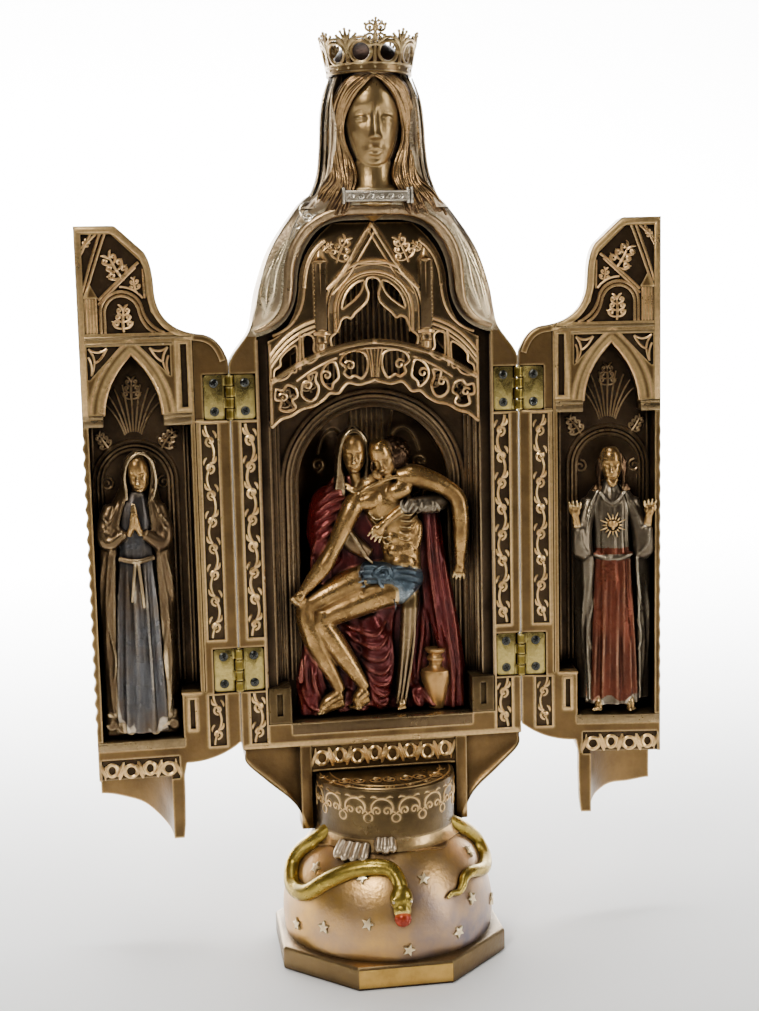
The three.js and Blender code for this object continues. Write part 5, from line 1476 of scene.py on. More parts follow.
def buildHair():
    base, fine = [], []
    wander = np.random.default_rng(12)
    for side, s, route in hairGuides():
        line = bendThrough(route, 8)
        t = np.linspace(0, 1, len(line))
        line[:, 0] += 0.45 * np.sin(t * 15 + s * 5 + side) * clamp(t * 2)
        line[:, 1] += 0.25 * np.cos(t * 21 + s * 5)
        base.append((line, tapered(len(line), 1.25, (0.3, 0.55))))
        for shift in ((0,) if round(s * 11) % 3 else (-0.5, 0.5)):
            near = line.copy()
            near[:, 0] += side * (shift + 0.25 * np.sin(t * 13 + wander.uniform(0, 6))) * clamp(t * 4, 0.2,
                1)
            near[:, 1] -= (1.12 - 0.25 * abs(shift)) * clamp(0.5 + t * 3) * clamp(6 * (1.05 - t))
            near[:, 2] += shift * 0.5 * (1 - clamp(t * 3))
            fine.append((near, tapered(len(near), wander.uniform(0.42, 0.62), (0.3, 0.15))))
    locks = fuse([strands("locks", base, 12)], "hair", 0.4, 1, 0.4)
    return [paint(locks, "hair"), paint(strands("hairs", fine, 8), "lock")]


def buildVeil():
    rings = []
    sides = 150
    for z, half, back in bendThrough(head["veil"], 7):
        gap = 1.02 + 0.1 * clamp((262 - z) / 12)
        angle = np.linspace(gap, 2 * pi - gap, sides)
        folds = 0.45 * np.cos(9 * angle + 0.05 * z) * clamp((284 - z) / 12) + 0.2 * np.cos(19 * angle + 1)
        lip = 0.9 * np.exp(-((angle - gap) / 0.12) ** 2) + 0.9 * np.exp(
            -((2 * pi - gap - angle) / 0.12) ** 2)
        thick = 1.6 + lip
        outer = np.c_[(half + folds) * np.sin(angle), 3 - (back + folds) * np.cos(angle)]
        inner = np.c_[(half + folds - thick) * np.sin(angle), 3 - (back + folds - thick) * np.cos(angle)][
            ::-1]
        rings.append(np.c_[chain(outer, inner) + (head["x"], 0), np.full(2 * sides, z)])
    veil = loft("veil", rings)
    core = joinPieces([ball("veilCore", (head["x"], 5.5, 268), (12.6, 11, 20), segments=64, rings=48),
        ball("dome", (head["x"], 4.4, 285.2), (12.2, 10.8, 10.8), segments=64, rings=48)], "veilCore")
    edges = []
    for side in (-1, 1):
        edge = [(head["x"] + side * x, y, z) for x, y, z in ((11.6, -2.4, 283.4), (13.6, -3.4, 277),
            (14.5, -3.4, 270), (15, -3.2, 262), (15.8, -3.6, 255), (17.2, -4.4, 250), (19.9, -3.8, 245),
            (23.3, -2.2, 241.4))]
        line = bendThrough(edge, 8)
        edges.append((line, tapered(len(line), 0.62, (0.7, 0.4))))
        line2 = line + (side * 1.5, 1.3, 0)
        edges.append((line2, tapered(len(line), 0.5, (0.5, 0.3))))
    rim = strands("veilRim", edges, 10)
    return [paint(veil, "veil"), paint(core, "shadow"), paint(rim, "veil")]


def buildNeckline():
    band = block("neckBand", -9.6, 10.6, -8, -2, 245.2, 248.7, 0.4)
    lines = [(np.array([(-9.2, 248.2), (10.2, 248.2)]), 0.28), (np.array([(-9.2, 245.6), (10.2, 245.6)]),
        0.28)]
    for i in range(6):
        lines += [(curl(-8.3 + i * 3.1, 246.9, 0.95, 180, 460, 1 if i % 2 else -1, 14), 0.24),
            (bow((-9 + i * 3.1, 246.2), (-8 + i * 3.1, 247.9), (-6.4 + i * 3.1, 246.9), 6), 0.22)]
    relief = strands("neckRelief", atDepth(lines, -8.05), 6)
    posts = [block("neckPost", x - 0.4, x + 0.4, -8.1, -2, 244.6, 249.6, 0.2) for x in (10.4, 11.6, -9.9)]
    pieces = [band, relief, *posts]
    for piece in pieces:
        paint(piece, "silver")
    return pieces


def buildHead():
    whole = joinPieces([buildFace(), *buildHair(), *buildVeil(), *buildNeckline()], "crowned_head_cast")
    return finishPiece(whole, "shrine", "antique_bronze", "shrine_body", angle=50)


buildHead()

# crown
crownPlan = {"points": 10, "bandLow": 284.2, "band": 3.1, "radius": 12.9, "flare": 0.2, "x": 0.4, "y": 2.6}


def onCrown(u, v, proud=0):
    a = u / crownPlan["radius"]
    r = crownPlan["radius"] + 0.2 + v * math.sin(crownPlan["flare"]) + proud + 0.012 * max(v - 4, 0) ** 2
    return np.array([crownPlan["x"] + r * math.sin(a), crownPlan["y"] - r * math.cos(a),
        crownPlan["bandLow"] + crownPlan["band"] - 0.5 + v * 0.985])


def crownLine(points, radius, proud=0):
    return (np.array([onCrown(u, v, proud) for u, v in points]), radius)


def buildCrown():
    low, r = crownPlan["bandLow"], crownPlan["radius"]
    profile = [(r - 0.8, 0), (r + 0.35, 0), (r + 0.65, 0.25), (r + 0.65, 0.6), (r + 0.3, 0.75),
        (r + 0.45, 2.3), (r + 0.85, 2.45), (r + 0.95, 2.85), (r + 0.7, 3.1), (r - 0.6, 3.1)]
    hoop = hollowTurned("hoop", [(q, low + h) for q, h in profile], 120, crownPlan["x"], crownPlan["y"])
    rivets = []
    for i in range(20):
        a = 2 * pi * i / 20
        spot = (crownPlan["x"] + (r + 0.4) * math.sin(a), crownPlan["y"] - (r + 0.4) * math.cos(a),
            low + 1.55)
        rivets.append(bead("rivet", spot, 0.42))
    pitch = 2 * pi * r / crownPlan["points"]
    lines, beads = [], []
    for i in range(crownPlan["points"]):
        u = i * pitch
        front = i == 0
        middle = u + pitch / 2
        ring = [(middle + 3.05 * math.cos(a), 3.5 + 3.2 * math.sin(a)) for a in np.linspace(0, 2 * pi, 33)]
        lines += [crownLine(ring, 0.62), crownLine([(middle + 3.6 * math.cos(a), 3.9 + 3.9 * math.sin(a))
            for a in np.linspace(deg(25), deg(155), 14)], 0.5, 0.1)]
        if front:
            for x, v in ((-1.42, 7.6), (1.42, 7.6), (-1.42, 10.4), (1.42, 10.4)):
                lines.append(crownLine([(x + 1.02 * math.cos(a), v + 1.02 * math.sin(a))
                    for a in np.linspace(0, 2 * pi, 21)], 0.42, 0.2))
                beads.append(bead("bead", onCrown(x, v, -0.15), 0.62))
            lines += [crownLine([(0, 0), (0, 6), (0, 12.2)], 0.6),
                crownLine([(-1.6, 5.2), (0, 5.7), (1.6, 5.2)], 0.5, 0.3)]
            tips = [(0, 12.9), (-0.75, 12.3), (0.75, 12.3), (-2.6, 11.4), (2.6, 11.4), (-2.7, 8.2),
                (2.7, 8.2), (-1.5, 12), (1.5, 12), (0, 9)]
        else:
            lines.append(crownLine([(u, 0), (u, 3), (u, 6.5), (u, 9.8)], np.array([0.85, 0.8, 0.75, 0.42])))
            for side in (-1, 1):
                arm = bow((u, 3.6), (u + side * 0.4, 6.4), (u + side * 2.7, 8.4), 9)
                lines.append(crownLine(arm, tapered(9, 0.62, (0.9, 0.7)), 0.1))
                leaf = bow((u, 6.4), (u + side * 0.8, 8), (u + side * 1.3, 9.4), 7)
                lines.append(crownLine(leaf, tapered(7, 0.55, (0.8, 0.5))))
                side2 = bow((u, 5), (u + side * 1.6, 6.6), (u + side * 3.2, 6.9), 7)
                lines.append(crownLine(side2, tapered(7, 0.52, (0.8, 0.5))))
            tips = [(u, 10.3), (u - 2.9, 8.7), (u + 2.9, 8.7), (u - 1.4, 9.7), (u + 1.4, 9.7)]
        beads += [bead("bead", onCrown(x, v), 0.5) for x, v in tips]
    whole = joinPieces([hoop, strands("crownwork", lines, 8), *rivets, *beads], "crown_cast")
    paint(whole, "crown")
    return finishPiece(whole, "shrine", "gold_bronze", "crown", angle=40)


buildCrown()

# pierced tracery screen
screen = {
    "front": 1.15,
    "back": 2.7,
    "trefoil": [(0, 222.2), (1.7, 221.6), (2.5, 219.9), (2, 218), (1.7, 216.6), (2.3, 214.4), (3.9, 212.6),
        (5.8, 211), (7.4, 209.2), (8.8, 209.7), (10.6, 208.7), (11.4, 206.6), (12.4, 204.8), (14.2, 203),
        (13.6, 200), (12, 199.8), (6, 201.6), (0, 202.2)],
    "leaf": [(2.9, 221), (3.7, 217.8), (5.6, 215.4), (7.8, 213.6), (10.2, 212.2), (9.8, 214.8),
        (8.2, 217.8), (5.6, 220.2)],
    "wing": [(25.2, 200.9), (25, 197), (25.5, 192.8), (27, 192.5), (28.8, 190.6), (32.3, 190), (32.5, 193),
        (30.6, 194.6), (30.4, 197), (28, 199.6)],
    "slit": [(22.8, 204.3), (23.1, 199.4), (22.7, 196), (20.6, 195.4), (18.2, 197.4), (19.6, 199.2),
        (19.6, 203.4)],
    "scrolls": [[(2.6, 197.2), (5.6, 198.9), (9.6, 198), (11.2, 195.4), (9.6, 193.6), (10, 191.6),
        (8.2, 190.2), (6.6, 190.8), (4.2, 189.9), (2.4, 193)], [(13, 195.2), (15.6, 194.8), (17.4, 191.8),
        (16.8, 188.6), (14.4, 186.8), (13.6, 188.6), (11.9, 190.6)], [(19, 192.2), (21.6, 191.6),
        (21.4, 189.4), (23.6, 188.4), (23.8, 185), (21.6, 183.2), (19.4, 184), (18.4, 187.2),
        (19.4, 189.8)], [(26, 187.4), (28.4, 188.4), (30, 186.8), (32.2, 187), (32.4, 184), (30.6, 183.4),
        (31, 180.8), (28.4, 180), (26, 181.2), (27, 183.4), (25.4, 184.8)],],
    "under": [(0, 189.4), (2.4, 188.6), (5.4, 188), (8.6, 188.6), (10.4, 187.2), (12, 185.4),
        (14.8, 185.4), (17, 183.4), (20, 181.6), (24, 180.6), (27.4, 178.6), (30.6, 177.6), (33.8, 175)],
}


def buildTracery():
    right = chain(bendThrough(screen["under"], 4), [(34.2, 175), (34.2, 202.4)],
        bow((34.2, 202.4), (25.2, 205.6), (23.9, 219), 12), bow((23.9, 219), (24.1, 230.6), (12.8, 239.3),
        12)[1:], [(0, 239.3)])
    outline = chain(right, right[1:-1][::-1] * (-1, 1))
    holes, lines = [], []
    trefoil = bendThrough(screen["trefoil"], 5)
    centreHole = chain(trefoil, trefoil[1:-1][::-1] * (-1, 1))
    holes.append(centreHole)
    lines += [(trefoil[:-16], 0.46), (trefoil[:-16] * (-1, 1), 0.46)]
    for key in ("leaf", "wing", "slit"):
        loop = bendThrough(screen[key], 5, True)
        for hand in (1, -1):
            holes.append(loop * (hand, 1))
            lines.append((chain(loop, loop[:1]) * (hand, 1), 0.4))
    for points in screen["scrolls"]:
        loop = bendThrough(points, 5, True)
        for hand in (1, -1):
            holes.append(loop * (hand, 1))
            lines.append((chain(loop, loop[:1]) * (hand, 1), 0.46))
            eye = loop.mean(axis=0)
            reach = 0.55 * np.abs(loop - eye).max()
            hook = curl(eye[0] + reach * 0.95, eye[1] + reach * 0.4, reach * 0.62, 30, 380, 1, 16)
            lines.append((hook * (hand, 1), tapered(16, 0.42, (0.9, 0.9))))
    panel = plate("tracery", [outline, *holes], screen["front"], screen["back"], 0.15)
    under = bendThrough(screen["under"], 6)
    lines += bothSides([(under, 0.5)])
    lines += bothSides([(np.array([(33.7, 176), (33.7, 201.4)]), 0.5)])
    band = chain(bow((0, 201.6), (17, 200.8), (31.6, 190.6), 22), [(33.6, 189.6)])
    lines += bothSides([(band, 0.95)])
    lines += bothSides([(bow((0, 199.6), (5, 199.8), (11.4, 197.8), 10), 0.4),
        (bow((12.4, 196.6), (19, 194.4), (25.4, 189.6), 12), 0.4)])
    for x in (0, 0.9, 1.8):
        lines += bothSides([(bow((x * 1.4, 199.2), (x * 0.7, 195), (x * 0.6, 190.2), 8), 0.3)])
    lines += bothSides([(np.array([(24, 205.2), (24.1, 198), (24.3, 193.2)]), 0.6)])
    # quarter arches beyond the pinnacles
    for shift, thick in ((0, 0.6), (-1.7, 0.6), (-3.2, 0.42)):
        lines += bothSides([(bow((19, 208.6 + shift), (27.8, 206.2 + shift), (33.6, 198 + shift * 1.3),
            16), thick)])
    # the great arch and the gable
    for radius, thick in ((15.9, 0.62), (14.7, 0.32), (12.6, 0.6), (11.6, 0.34)):
        arch = chain([(radius, 204.6)], arc(0, 211.4, radius, 0, 180, 44), [(-radius, 204.6)])
        lines.append((arch, thick))
    gable = bendThrough([(0, 239), (5.4, 230.2), (9.6, 223.6), (14.8, 218.2)], 5)
    lines += bothSides([(gable, 0.85), (gable - (1.5, 1.6), 0.4)])
    lines.append((np.array([(-6.2, 226.4), (6.2, 226.4)]), 0.4))
    lines += bothSides([(bow((15.2, 233.6), (21.8, 229.6), (22.2, 219), 14), 0.75),
        (bow((22.2, 219), (22.9, 207.2), (32.6, 204.2), 14), 0.5)])
    foliage = sprayLines(9.6, 231.2, 5, 24, 0.46, 3, 5) + sprayLines(14.2, 231.8, 2.2, 50, 0.3, 2, 6)
    lines += bothSides(foliage)
    crisp = strands("traceryEdges", atDepth(lines, screen["front"] - 0.1), 8)
    arcadeHollow = plate("archHollow",
        [chain(arc(0, 211.4, 14.6, 0, 180, 40), arc(0, 211.4, 12.8, 180, 0, 40))], 1, 2.4, 0.1)
    dark = paint(arcadeHollow, "darkBronze")
    posts = []
    for side in (-1, 1):
        x = side * 17
        profile = [(0.05, 232.4), (0.5, 231), (1.1, 229.2), (1.9, 227.7), (2.3, 227.5), (2.3, 227.1),
            (1.9, 226.8), (1.85, 205.4), (2.5, 205), (2.6, 204.2), (1.9, 203.8), (1.8, 202.6),
            (2.1, 202.2), (2.1, 201.6), (1.2, 201.2), (1.1, 200.2), (1.3, 199.6), (0.7, 198.6), (0.1, 198)]
        posts += [loft("pinnacle", turnedRings(profile, 32, x, 1.5, 0.72)), block("pinnacleFace", x - 1.75,
            x + 1.75, 0.15, 1.6, 205.6, 226.8, 0.25)]
        beadLine = np.array([(side * 18.9, z) for z in np.arange(206.5, 226, 1.3)])
        posts += [ball("beading", (bx, 1, bz), (0.35, 0.35, 0.35), segments=8, rings=6) for bx,
            bz in beadLine]
        posts.append(block("pinnacleFoot", *sorted((side * 14.2, side * 19.6)), 0.3, 2.6, 203.9, 204.9,
            0.2))
    for piece in (panel, crisp, *posts):
        paint(piece, "plain" if piece.name.startswith("pinnacleFa") else "tracery")
    whole = joinPieces([panel, crisp, dark, *posts], "tracery_screen_cast")
    return finishPiece(whole, "shrine", "dark_bronze", "tracery_screen", angle=40)


buildTracery()

# lamentation group
def buildMother():
    gown = robe("gown", [(77.9, 0, 13, 22.6, 4.6, 0.5), (90, 0, 13.2, 21.8, 4.6, 0.55),
        (104, 0, 13.4, 21.6, 4.8, 0.5), (121, 0, 13.4, 19.6, 5, 0.35), (132, 0.6, 13.8, 17, 4.8, 0.3),
        (146, -1, 14.4, 16.4, 4.9, 0.25), (153, -3, 14.8, 12.6, 4.4, 0.2), (157.5, -5, 15, 7, 4, 0.1)], 15,
        4)
    shoulder = ball("shoulder", (-14.2, 12, 147.4), (7, 5.4, 7.4), (0, 28, 0))
    upperArm = limb("upperArm", [(-16, 12, 147), (-17.4, 11.4, 138), (-15.4, 10.4, 129)], [5.6, 5.2, 4.2])
    side = robe("sideMantle", [(78, 25.4, 9.2, 4.2, 4.6, 0.55), (96, 24.8, 9.4, 4, 4.6, 0.5),
        (112, 21.8, 10.4, 4.8, 4.6, 0.45), (130, 19.2, 11.4, 4.6, 4, 0.35), (145, 18.2, 12.6, 4, 3.4,
        0.2)], 7, 8, 64)
    leftSide = robe("leftMantle", [(78, -22.6, 9.4, 4.8, 4.4, 0.5), (90, -22.6, 9.6, 4.2, 4.4, 0.45),
        (104, -20.6, 10.6, 4, 4, 0.4), (124, -17.8, 11.8, 4, 3.8, 0.3), (140, -17.2, 12.6, 4.2, 3.6, 0.2)],
        6, 9, 64)
    lap = limb("lap", [(-14, 12, 116), (-2, 11.4, 117), (10, 11, 117)], [5.6, 5.6, 5.2])
    between = limb("between", [(-3, 11, 110), (0, 9.8, 98), (-1, 9.8, 86), (-3, 10, 79.6)],
        [4.4, 5.4, 5.2, 3.4])
    spread = [limb("hem", [(x, 10, 84), (x + lean * 0.5, 8.2, 80.6), (x + lean, 6.6, 78.8)], [3, 2.2, 1.1])
        for x, lean in ((-10, -4), (-4, -3), (1.6, -2), (12.4, 1.5), (16, 3))]
    cloth = fuse([gown, shoulder, upperArm, side, leftSide, lap, between, *spread], "mantleCloth", 0.5, 2)
    swags = [[(-12.4, 108.6), (-8, 106.6), (-1, 104.4), (4.6, 110.6)], [(-11, 105.4), (-6.6, 102),
        (-0.4, 100.4), (5.2, 106)], [(-9.6, 102), (-5.4, 97.6), (0.6, 96.2), (5.4, 101.4)],
        [(-7.6, 98.4), (-3.4, 93), (1.6, 92), (5.2, 96.6)], [(-5.8, 94), (-1.8, 88.6), (2.4, 87.8),
        (5, 91.6)], [(-4.6, 90.2), (-0.8, 84.6), (2.6, 84), (4.6, 87)], [(-3.4, 86), (-1.4, 81.6),
        (1.4, 80.4), (3.4, 82.4)], [(-12.6, 80.6), (-8, 82), (-3.4, 81), (1, 78.8)],
        [(-13.6, 79), (-8, 79.4), (-3, 78.9)], [(6.6, 116), (4.4, 106), (4.2, 94), (4.4, 82)],
        [(15.4, 116.5), (15.4, 104), (13.8, 92), (13.4, 80)], [(6.4, 114.6), (8.4, 118.6), (12.4, 119.4),
        (15.8, 115)], [(12.2, 88), (15, 83), (17.6, 79)], [(11, 84), (12.4, 80.6), (13.6, 78.8)]]
    pleats = [[(-9.4, 154.4), (-13.4, 154.4), (-17, 151.8)], [(-8.8, 152.4), (-14, 152.2), (-19, 148.8)],
        [(-8.2, 150.2), (-14, 149.6), (-20, 145.8)], [(-7.8, 148), (-13.6, 146.8), (-20.4, 142.8)],
        [(-7.8, 145.6), (-13.4, 143.8), (-20.2, 139.6)], [(-8.6, 143), (-13.6, 140.6), (-19.6, 136.4)],
        [(-19.4, 139), (-21, 130), (-20.6, 122)], [(-17, 136), (-18.4, 128), (-18, 120)],
        [(-14.6, 134), (-15.6, 127), (-15, 120)], [(15.6, 140), (15.2, 128), (16.6, 112), (18.6, 99.6)],
        [(17.6, 143), (17.8, 128), (19.6, 112), (21.2, 99)], [(19.8, 144), (20.4, 128), (22.4, 112),
        (23.8, 98), (25, 82)], [(22.4, 140), (23, 124), (25.4, 108), (26.6, 94), (27.4, 80)],
        [(25, 116), (27, 104), (28.6, 92), (29, 80)], [(23, 106), (24.8, 94), (25.2, 84)],
        [(-26.4, 99), (-27, 90), (-26.2, 80)], [(-24.8, 100), (-24.6, 90), (-22.6, 80.4)],
        [(-23, 96), (-21.6, 87), (-18.6, 80.6)], [(-26.2, 88), (-23.6, 81.6), (-18, 79.2)],
        [(-20.6, 98), (-18.8, 88), (-15.4, 82)]]
    folds = foldsOn(cloth, swags + pleats, [0.95] * len(swags) + [0.85] * len(pleats), 0)
    red = paint(fuse([cloth, folds], "mantleRed", 0.4, 1, 0.4), "red")
    veil = cloak("veil", [(149, -6.2, 13.4, 8, 6, 0.2, 0.5), (155, -6.6, 12.4, 6.4, 5.8, 0.2, 0.6),
        (161, -6.7, 11.2, 5.9, 5, 0.1, 0.82), (167, -6.7, 10.8, 5.6, 4.9, 0.05, 0.84),
        (170.4, -6.7, 11.2, 4.8, 4.4, 0.05, 0.7), (172.6, -6.6, 11.8, 2.8, 3.2, 0, 0.5),
        (173.8, -6.6, 12.2, 1.2, 1.6, 0, 0.3)], 1.3, 7, 3, 60)
    edges = []
    for k in (0, 1):
        edges.append(smooth([(-12.2 - k, 9.4 - k * 0.2, 150), (-11.4 - k * 0.7, 8.2, 158),
            (-11 - k * 0.6, 7.6, 165), (-9.6 - k * 0.4, 7.2, 170 + k * 0.3), (-6.6, 7.1, 172.2 + k * 0.8),
            (-3.6 + k * 0.4, 7.3, 170 + k * 0.3), (-2.3 + k * 0.5, 7.8, 165), (-2.2 + k * 0.3, 8.6, 159)],
            0.55 - 0.12 * k))
    veil = paint(fuse([veil, strands("veilEdge", edges, 8), ball("crownOfHead", (-6.6, 11.6, 166),
        (5, 3.6, 6))], "motherVeil", 0.34, 1, 0.4), "figureMantle")
    face = placed(faceParts(), (-6.5, 8.9, 164), 5.2, (8, 0, -8))
    neck = limb("neck", [(-6.2, 11.2, 160), (-5.2, 11.6, 155), (-4.6, 11.6, 152)], [2.3, 2.3, 3.6])
    collar = strands("collar", [smooth([(-9.6, 9, 155), (-6, 7.6, 153), (-1.6, 8.2, 153.6)], 0.6),
        smooth([(-9.4, 8.4, 153.6), (-6, 7, 151.6), (-2, 7.4, 151.8)], 0.5)], 8)
    arm = limb("sleeve", [(22.4, 9.6, 148), (18.6, 6.6, 147.4), (13.6, 5.8, 147.6), (8.2, 5.4, 146.6)],
        [3.2, 3, 2.5, 2], 20)
    rings = []
    for x in np.arange(8.6, 21.4, 1.3):
        size = 2.35 + 0.055 * (x - 8)
        middle = 5.5 + 0.012 * (x - 8) ** 2
        ring = [(x + 0.7 * math.cos(2.3 * a + x), middle - size * math.cos(a), 147.3 + size * math.sin(a))
            for a in np.linspace(-1.4, 1.4, 9)]
        rings.append((np.array(ring), tapered(9, 0.5, (0.4, 0.4))))
    sleeve = paint(fuse([arm, strands("sleeveFolds", rings, 8)], "sleeve", 0.32, 1, 0.35), "silverMantle")
    forearm = limb("forearm", [(9, 5.4, 146.8), (4.6, 4.9, 143.8), (1.8, 4.9, 141.2)], [1.9, 1.6, 1.25])
    hand = handParts((1.9, 4.8, 141.4), (-0.6, -0.05, -0.8), (0.8, 0.1, -0.6), 4.2, 0.3)
    other = limb("otherSleeve", [(-12.6, 9.6, 140.6), (-8.4, 7.6, 136), (-2.6, 7, 131.6)], [2.8, 3.2, 2.2])
    otherFolds = strands("otherFolds",
        [smooth([(-9.6 + k, 5.4 + 0.2 * k, 140.2 - 2.2 * k), (-7.2 + k * 1.1, 4.2, 137 - 2 * k),
        (-5.6 + k * 1.3, 5.2, 133 - 1.4 * k)], 0.5, 5) for k in range(4)], 8)
    shin = limb("shin", [(10.2, 9.6, 121), (10.9, 7, 115.2), (9.8, 6.6, 104), (8.4, 7, 92), (7.4, 8, 82)],
        [4, 3.2, 2.7, 2.4, 2.2])
    shin = paint(fuse([shin], "shinCloth", 0.45, 1), "rim")
    shinFolds = strands("shinFolds",
        [smooth([(10.8 + s, 4 + abs(s) * 0.4, 113), (9.8 + s, 3.9 + abs(s) * 0.4, 100),
        (8.2 + s * 0.8, 4.6, 88), (7.2 + s * 0.8, 6, 80.6)], 0.45, 5) for s in (-1.9, -0.3, 1.5)], 8)
    shinFolds = paint(shinFolds, "darkBronze")
    foot = footParts((7.4, 8.6, 82), (7.4, 4.9, 78.9), 3)
    whole = fuse([*face, neck, collar, forearm, *hand, *foot], "motherBody", 0.34, 1, 0.35)
    lower = paint(fuse([other, otherFolds], "lowerSleeve", 0.34, 1, 0.35), "figureMantle")
    return [red, veil, sleeve, lower, shin, shinFolds, paint(whole, "skin")]


def buildSon():
    body = [robe("torso", [(158, 0.5, 10.8, 3.4, 2.8, 0), (155.4, 1.6, 10, 6.8, 3.6, 0),
        (151.6, 2.6, 9.4, 8.8, 4.2, 0), (146.4, 4.6, 9.2, 8.8, 4.4, 0), (140, 7.2, 9.2, 7.9, 4, 0),
        (134, 8.4, 9.2, 6.7, 3.7, 0), (128.6, 8.8, 9, 6.3, 3.9, 0), (122, 8.2, 9, 6.8, 4.4, 0),
        (117, 7, 9.4, 5.6, 4, 0)], 3, 2, 64)]
    body += [ball("chest", (-1.8, 6.4, 149.6), (4.6, 2.4, 3.2), (0, -20, 0)),
        ball("chest", (7.6, 6.2, 152.2), (4.8, 2.4, 3.2), (0, -18, 0)), ball("belly", (5.8, 6.6, 136.6),
        (3, 1.7, 2.6)), ball("belly", (9.8, 6.5, 137.2), (3, 1.7, 2.6)), ball("belly", (6.6, 6.6, 132.2),
        (3, 1.6, 2.6)), ball("belly", (10.2, 6.6, 132.6), (2.8, 1.6, 2.6)), ball("belly", (8.6, 6, 128.2),
        (4.2, 1.7, 2.8)), ball("flank", (13.8, 8.2, 136.6), (1.9, 2.8, 5.6), (0, 10, 0)),
        limb("collarbone", [(-7, 7.4, 150.6), (-2.4, 5.9, 153.8), (1.6, 6.4, 155.4)], [1, 0.7, 0.8]),
        limb("collarbone", [(2.4, 6.4, 155.8), (6.6, 5.9, 157), (11, 7, 158)], [0.8, 0.7, 1])]
    for k in range(5):
        body += [limb("rib", [(14.4 - k * 0.35, 7.4, 146.6 - k * 2.1),
            (11.6 - k * 0.3, 5, 144.4 - k * 2.1), (8.2 - k * 0.2, 4.7, 144.6 - k * 2)], [0.3, 0.42, 0.25],
            8, 5), limb("rib", [(-2.6 + k * 0.9, 6.6, 145.4 - k * 2.1),
            (-0.4 + k * 0.8, 5, 143.4 - k * 2.1), (2.4 + k * 0.6, 4.9, 143.6 - k * 2)], [0.25, 0.36, 0.2],
            8, 5)]
    body += [ball("shoulder", (-6.6, 7.8, 149), (3.2, 3, 3)), ball("shoulder", (11.6, 8, 157),
        (3.4, 3, 2.8)), limb("rightArm", [(-5.6, 8.6, 150), (-8.2, 7.4, 146.6), (-11.2, 6.6, 140.6),
        (-14.6, 6.2, 133.8), (-17.6, 6.1, 128.8), (-21.6, 5.9, 124), (-25, 5.6, 120)],
        [3.4, 3.6, 3.2, 2.7, 3, 2.4, 1.6], 20, 8),
        limb("leftArm", [(8, 9, 156.4), (12.4, 8.2, 157), (17.4, 7.4, 155.6), (22.6, 6.8, 153.2),
        (27.2, 6.6, 149.4), (28.4, 6.4, 144), (28.4, 6.2, 136), (27.9, 6.1, 127)],
        [3.8, 3.9, 3.6, 3.1, 2.9, 2.9, 2.6, 1.6], 20, 8)]
    body += handParts((-25, 5.6, 120), (-0.62, -0.1, -0.78), (-0.78, 0.1, 0.62), 3.9, 1, 0.15)
    body += handParts((27.9, 6, 127.2), (-0.12, -0.05, -1), (-0.99, -0.05, 0.12), 3.9, 0.25, 0.15)
    body += [limb("nearThigh", [(9.6, 9.2, 119.6), (3, 7.8, 118.4), (-6.6, 7.3, 115.4), (-14, 7, 112.8),
        (-18.6, 6.6, 110.6)], [5.8, 5.2, 4.9, 4.4, 3.6], 24, 8),
        limb("farThigh", [(4, 11.2, 125), (-5, 9.8, 123), (-15, 9, 119), (-22.6, 8.4, 115.4)],
        [4.8, 4.8, 4.5, 3.6], 24, 8), limb("nearShin", [(-18, 6.8, 113), (-18.6, 6.4, 109),
        (-15.2, 6.4, 103), (-11.4, 6.4, 97), (-7.6, 6.2, 91), (-5, 6.4, 86.6)], [3.5, 3.5, 3.8, 3.4, 2.5,
        2], 20, 8), limb("farShin", [(-22.8, 8.6, 117), (-24, 8, 112), (-21.6, 7.6, 104),
        (-18.4, 7.2, 96.6), (-15.4, 6.8, 90.6), (-13.4, 6.6, 86)], [3.5, 3.4, 3.8, 3.2, 2.4, 2], 20, 8),
        ball("knee", (-19.2, 5.4, 111.2), (2.1, 1.9, 2.3)), ball("knee", (-24, 7, 114.8), (2, 1.9, 2.3))]
    body += footParts((-13.3, 6.6, 84.8), (-22.2, 5.4, 79.2), 4.2)
    body += footParts((-4.9, 6.6, 85.4), (-9.6, 5.2, 80.2), 4.2)
    body += placed(faceParts(), (3.2, 8, 162.4), 5.2, (20, -16, -22))
    body += [limb("neck", [(2.6, 10.2, 160), (1.4, 9.8, 156.6), (0.8, 9.8, 153)], [2.6, 2.7, 3.6]),
        limb("beard", [(-0.2, 5.4, 159), (0.8, 5.2, 157.6), (2, 6, 156.6)], [1.4, 1.3, 0.6])]
    skin = paint(fuse(body, "sonBody", 0.34, 1, 0.35), "skin")
    cap = ball("hairCap", (6.6, 9.8, 164.6), (5.2, 4.8, 5), (0, -20, 0))
    curls = curlsOn((6.6, 9.4, 164.6), (5.2, 4.8, 5), 110, 1.15, lambda n: n.y < 0.5
        and not (n.x < -0.3 and n.y < -0.1 and n.z < 0.3), 5)
    locks = strands("sideLocks", [smooth([(9.8, 8, 162), (11, 7.6, 159.6), (9.6, 7.4, 158.2)], 0.9),
        smooth([(-0.6, 6, 162.8), (-1.2, 5.6, 160.6), (-0.6, 5.6, 158.8)], 0.6)], 8)
    hair = paint(fuse([cap, curls, locks], "sonHair", 0.28, 1, 0.3), "hair")
    wrap = [limb("wrap", [(-4.6, 8.2, 125.4), (2, 7.4, 124.4), (9, 7.2, 123.2), (14.2, 8.8, 122.6)],
        [3.6, 4.2, 4.4, 3.4], 24, 8), limb("wrap", [(10, 7.6, 121.6), (8, 6.6, 118), (6.6, 6.2, 115.4)],
        [4.8, 3.8, 2.2], 24, 8)]
    cloth = fuse(wrap, "loincloth", 0.42, 3)
    fan = []
    for k in range(9):
        s = k / 8
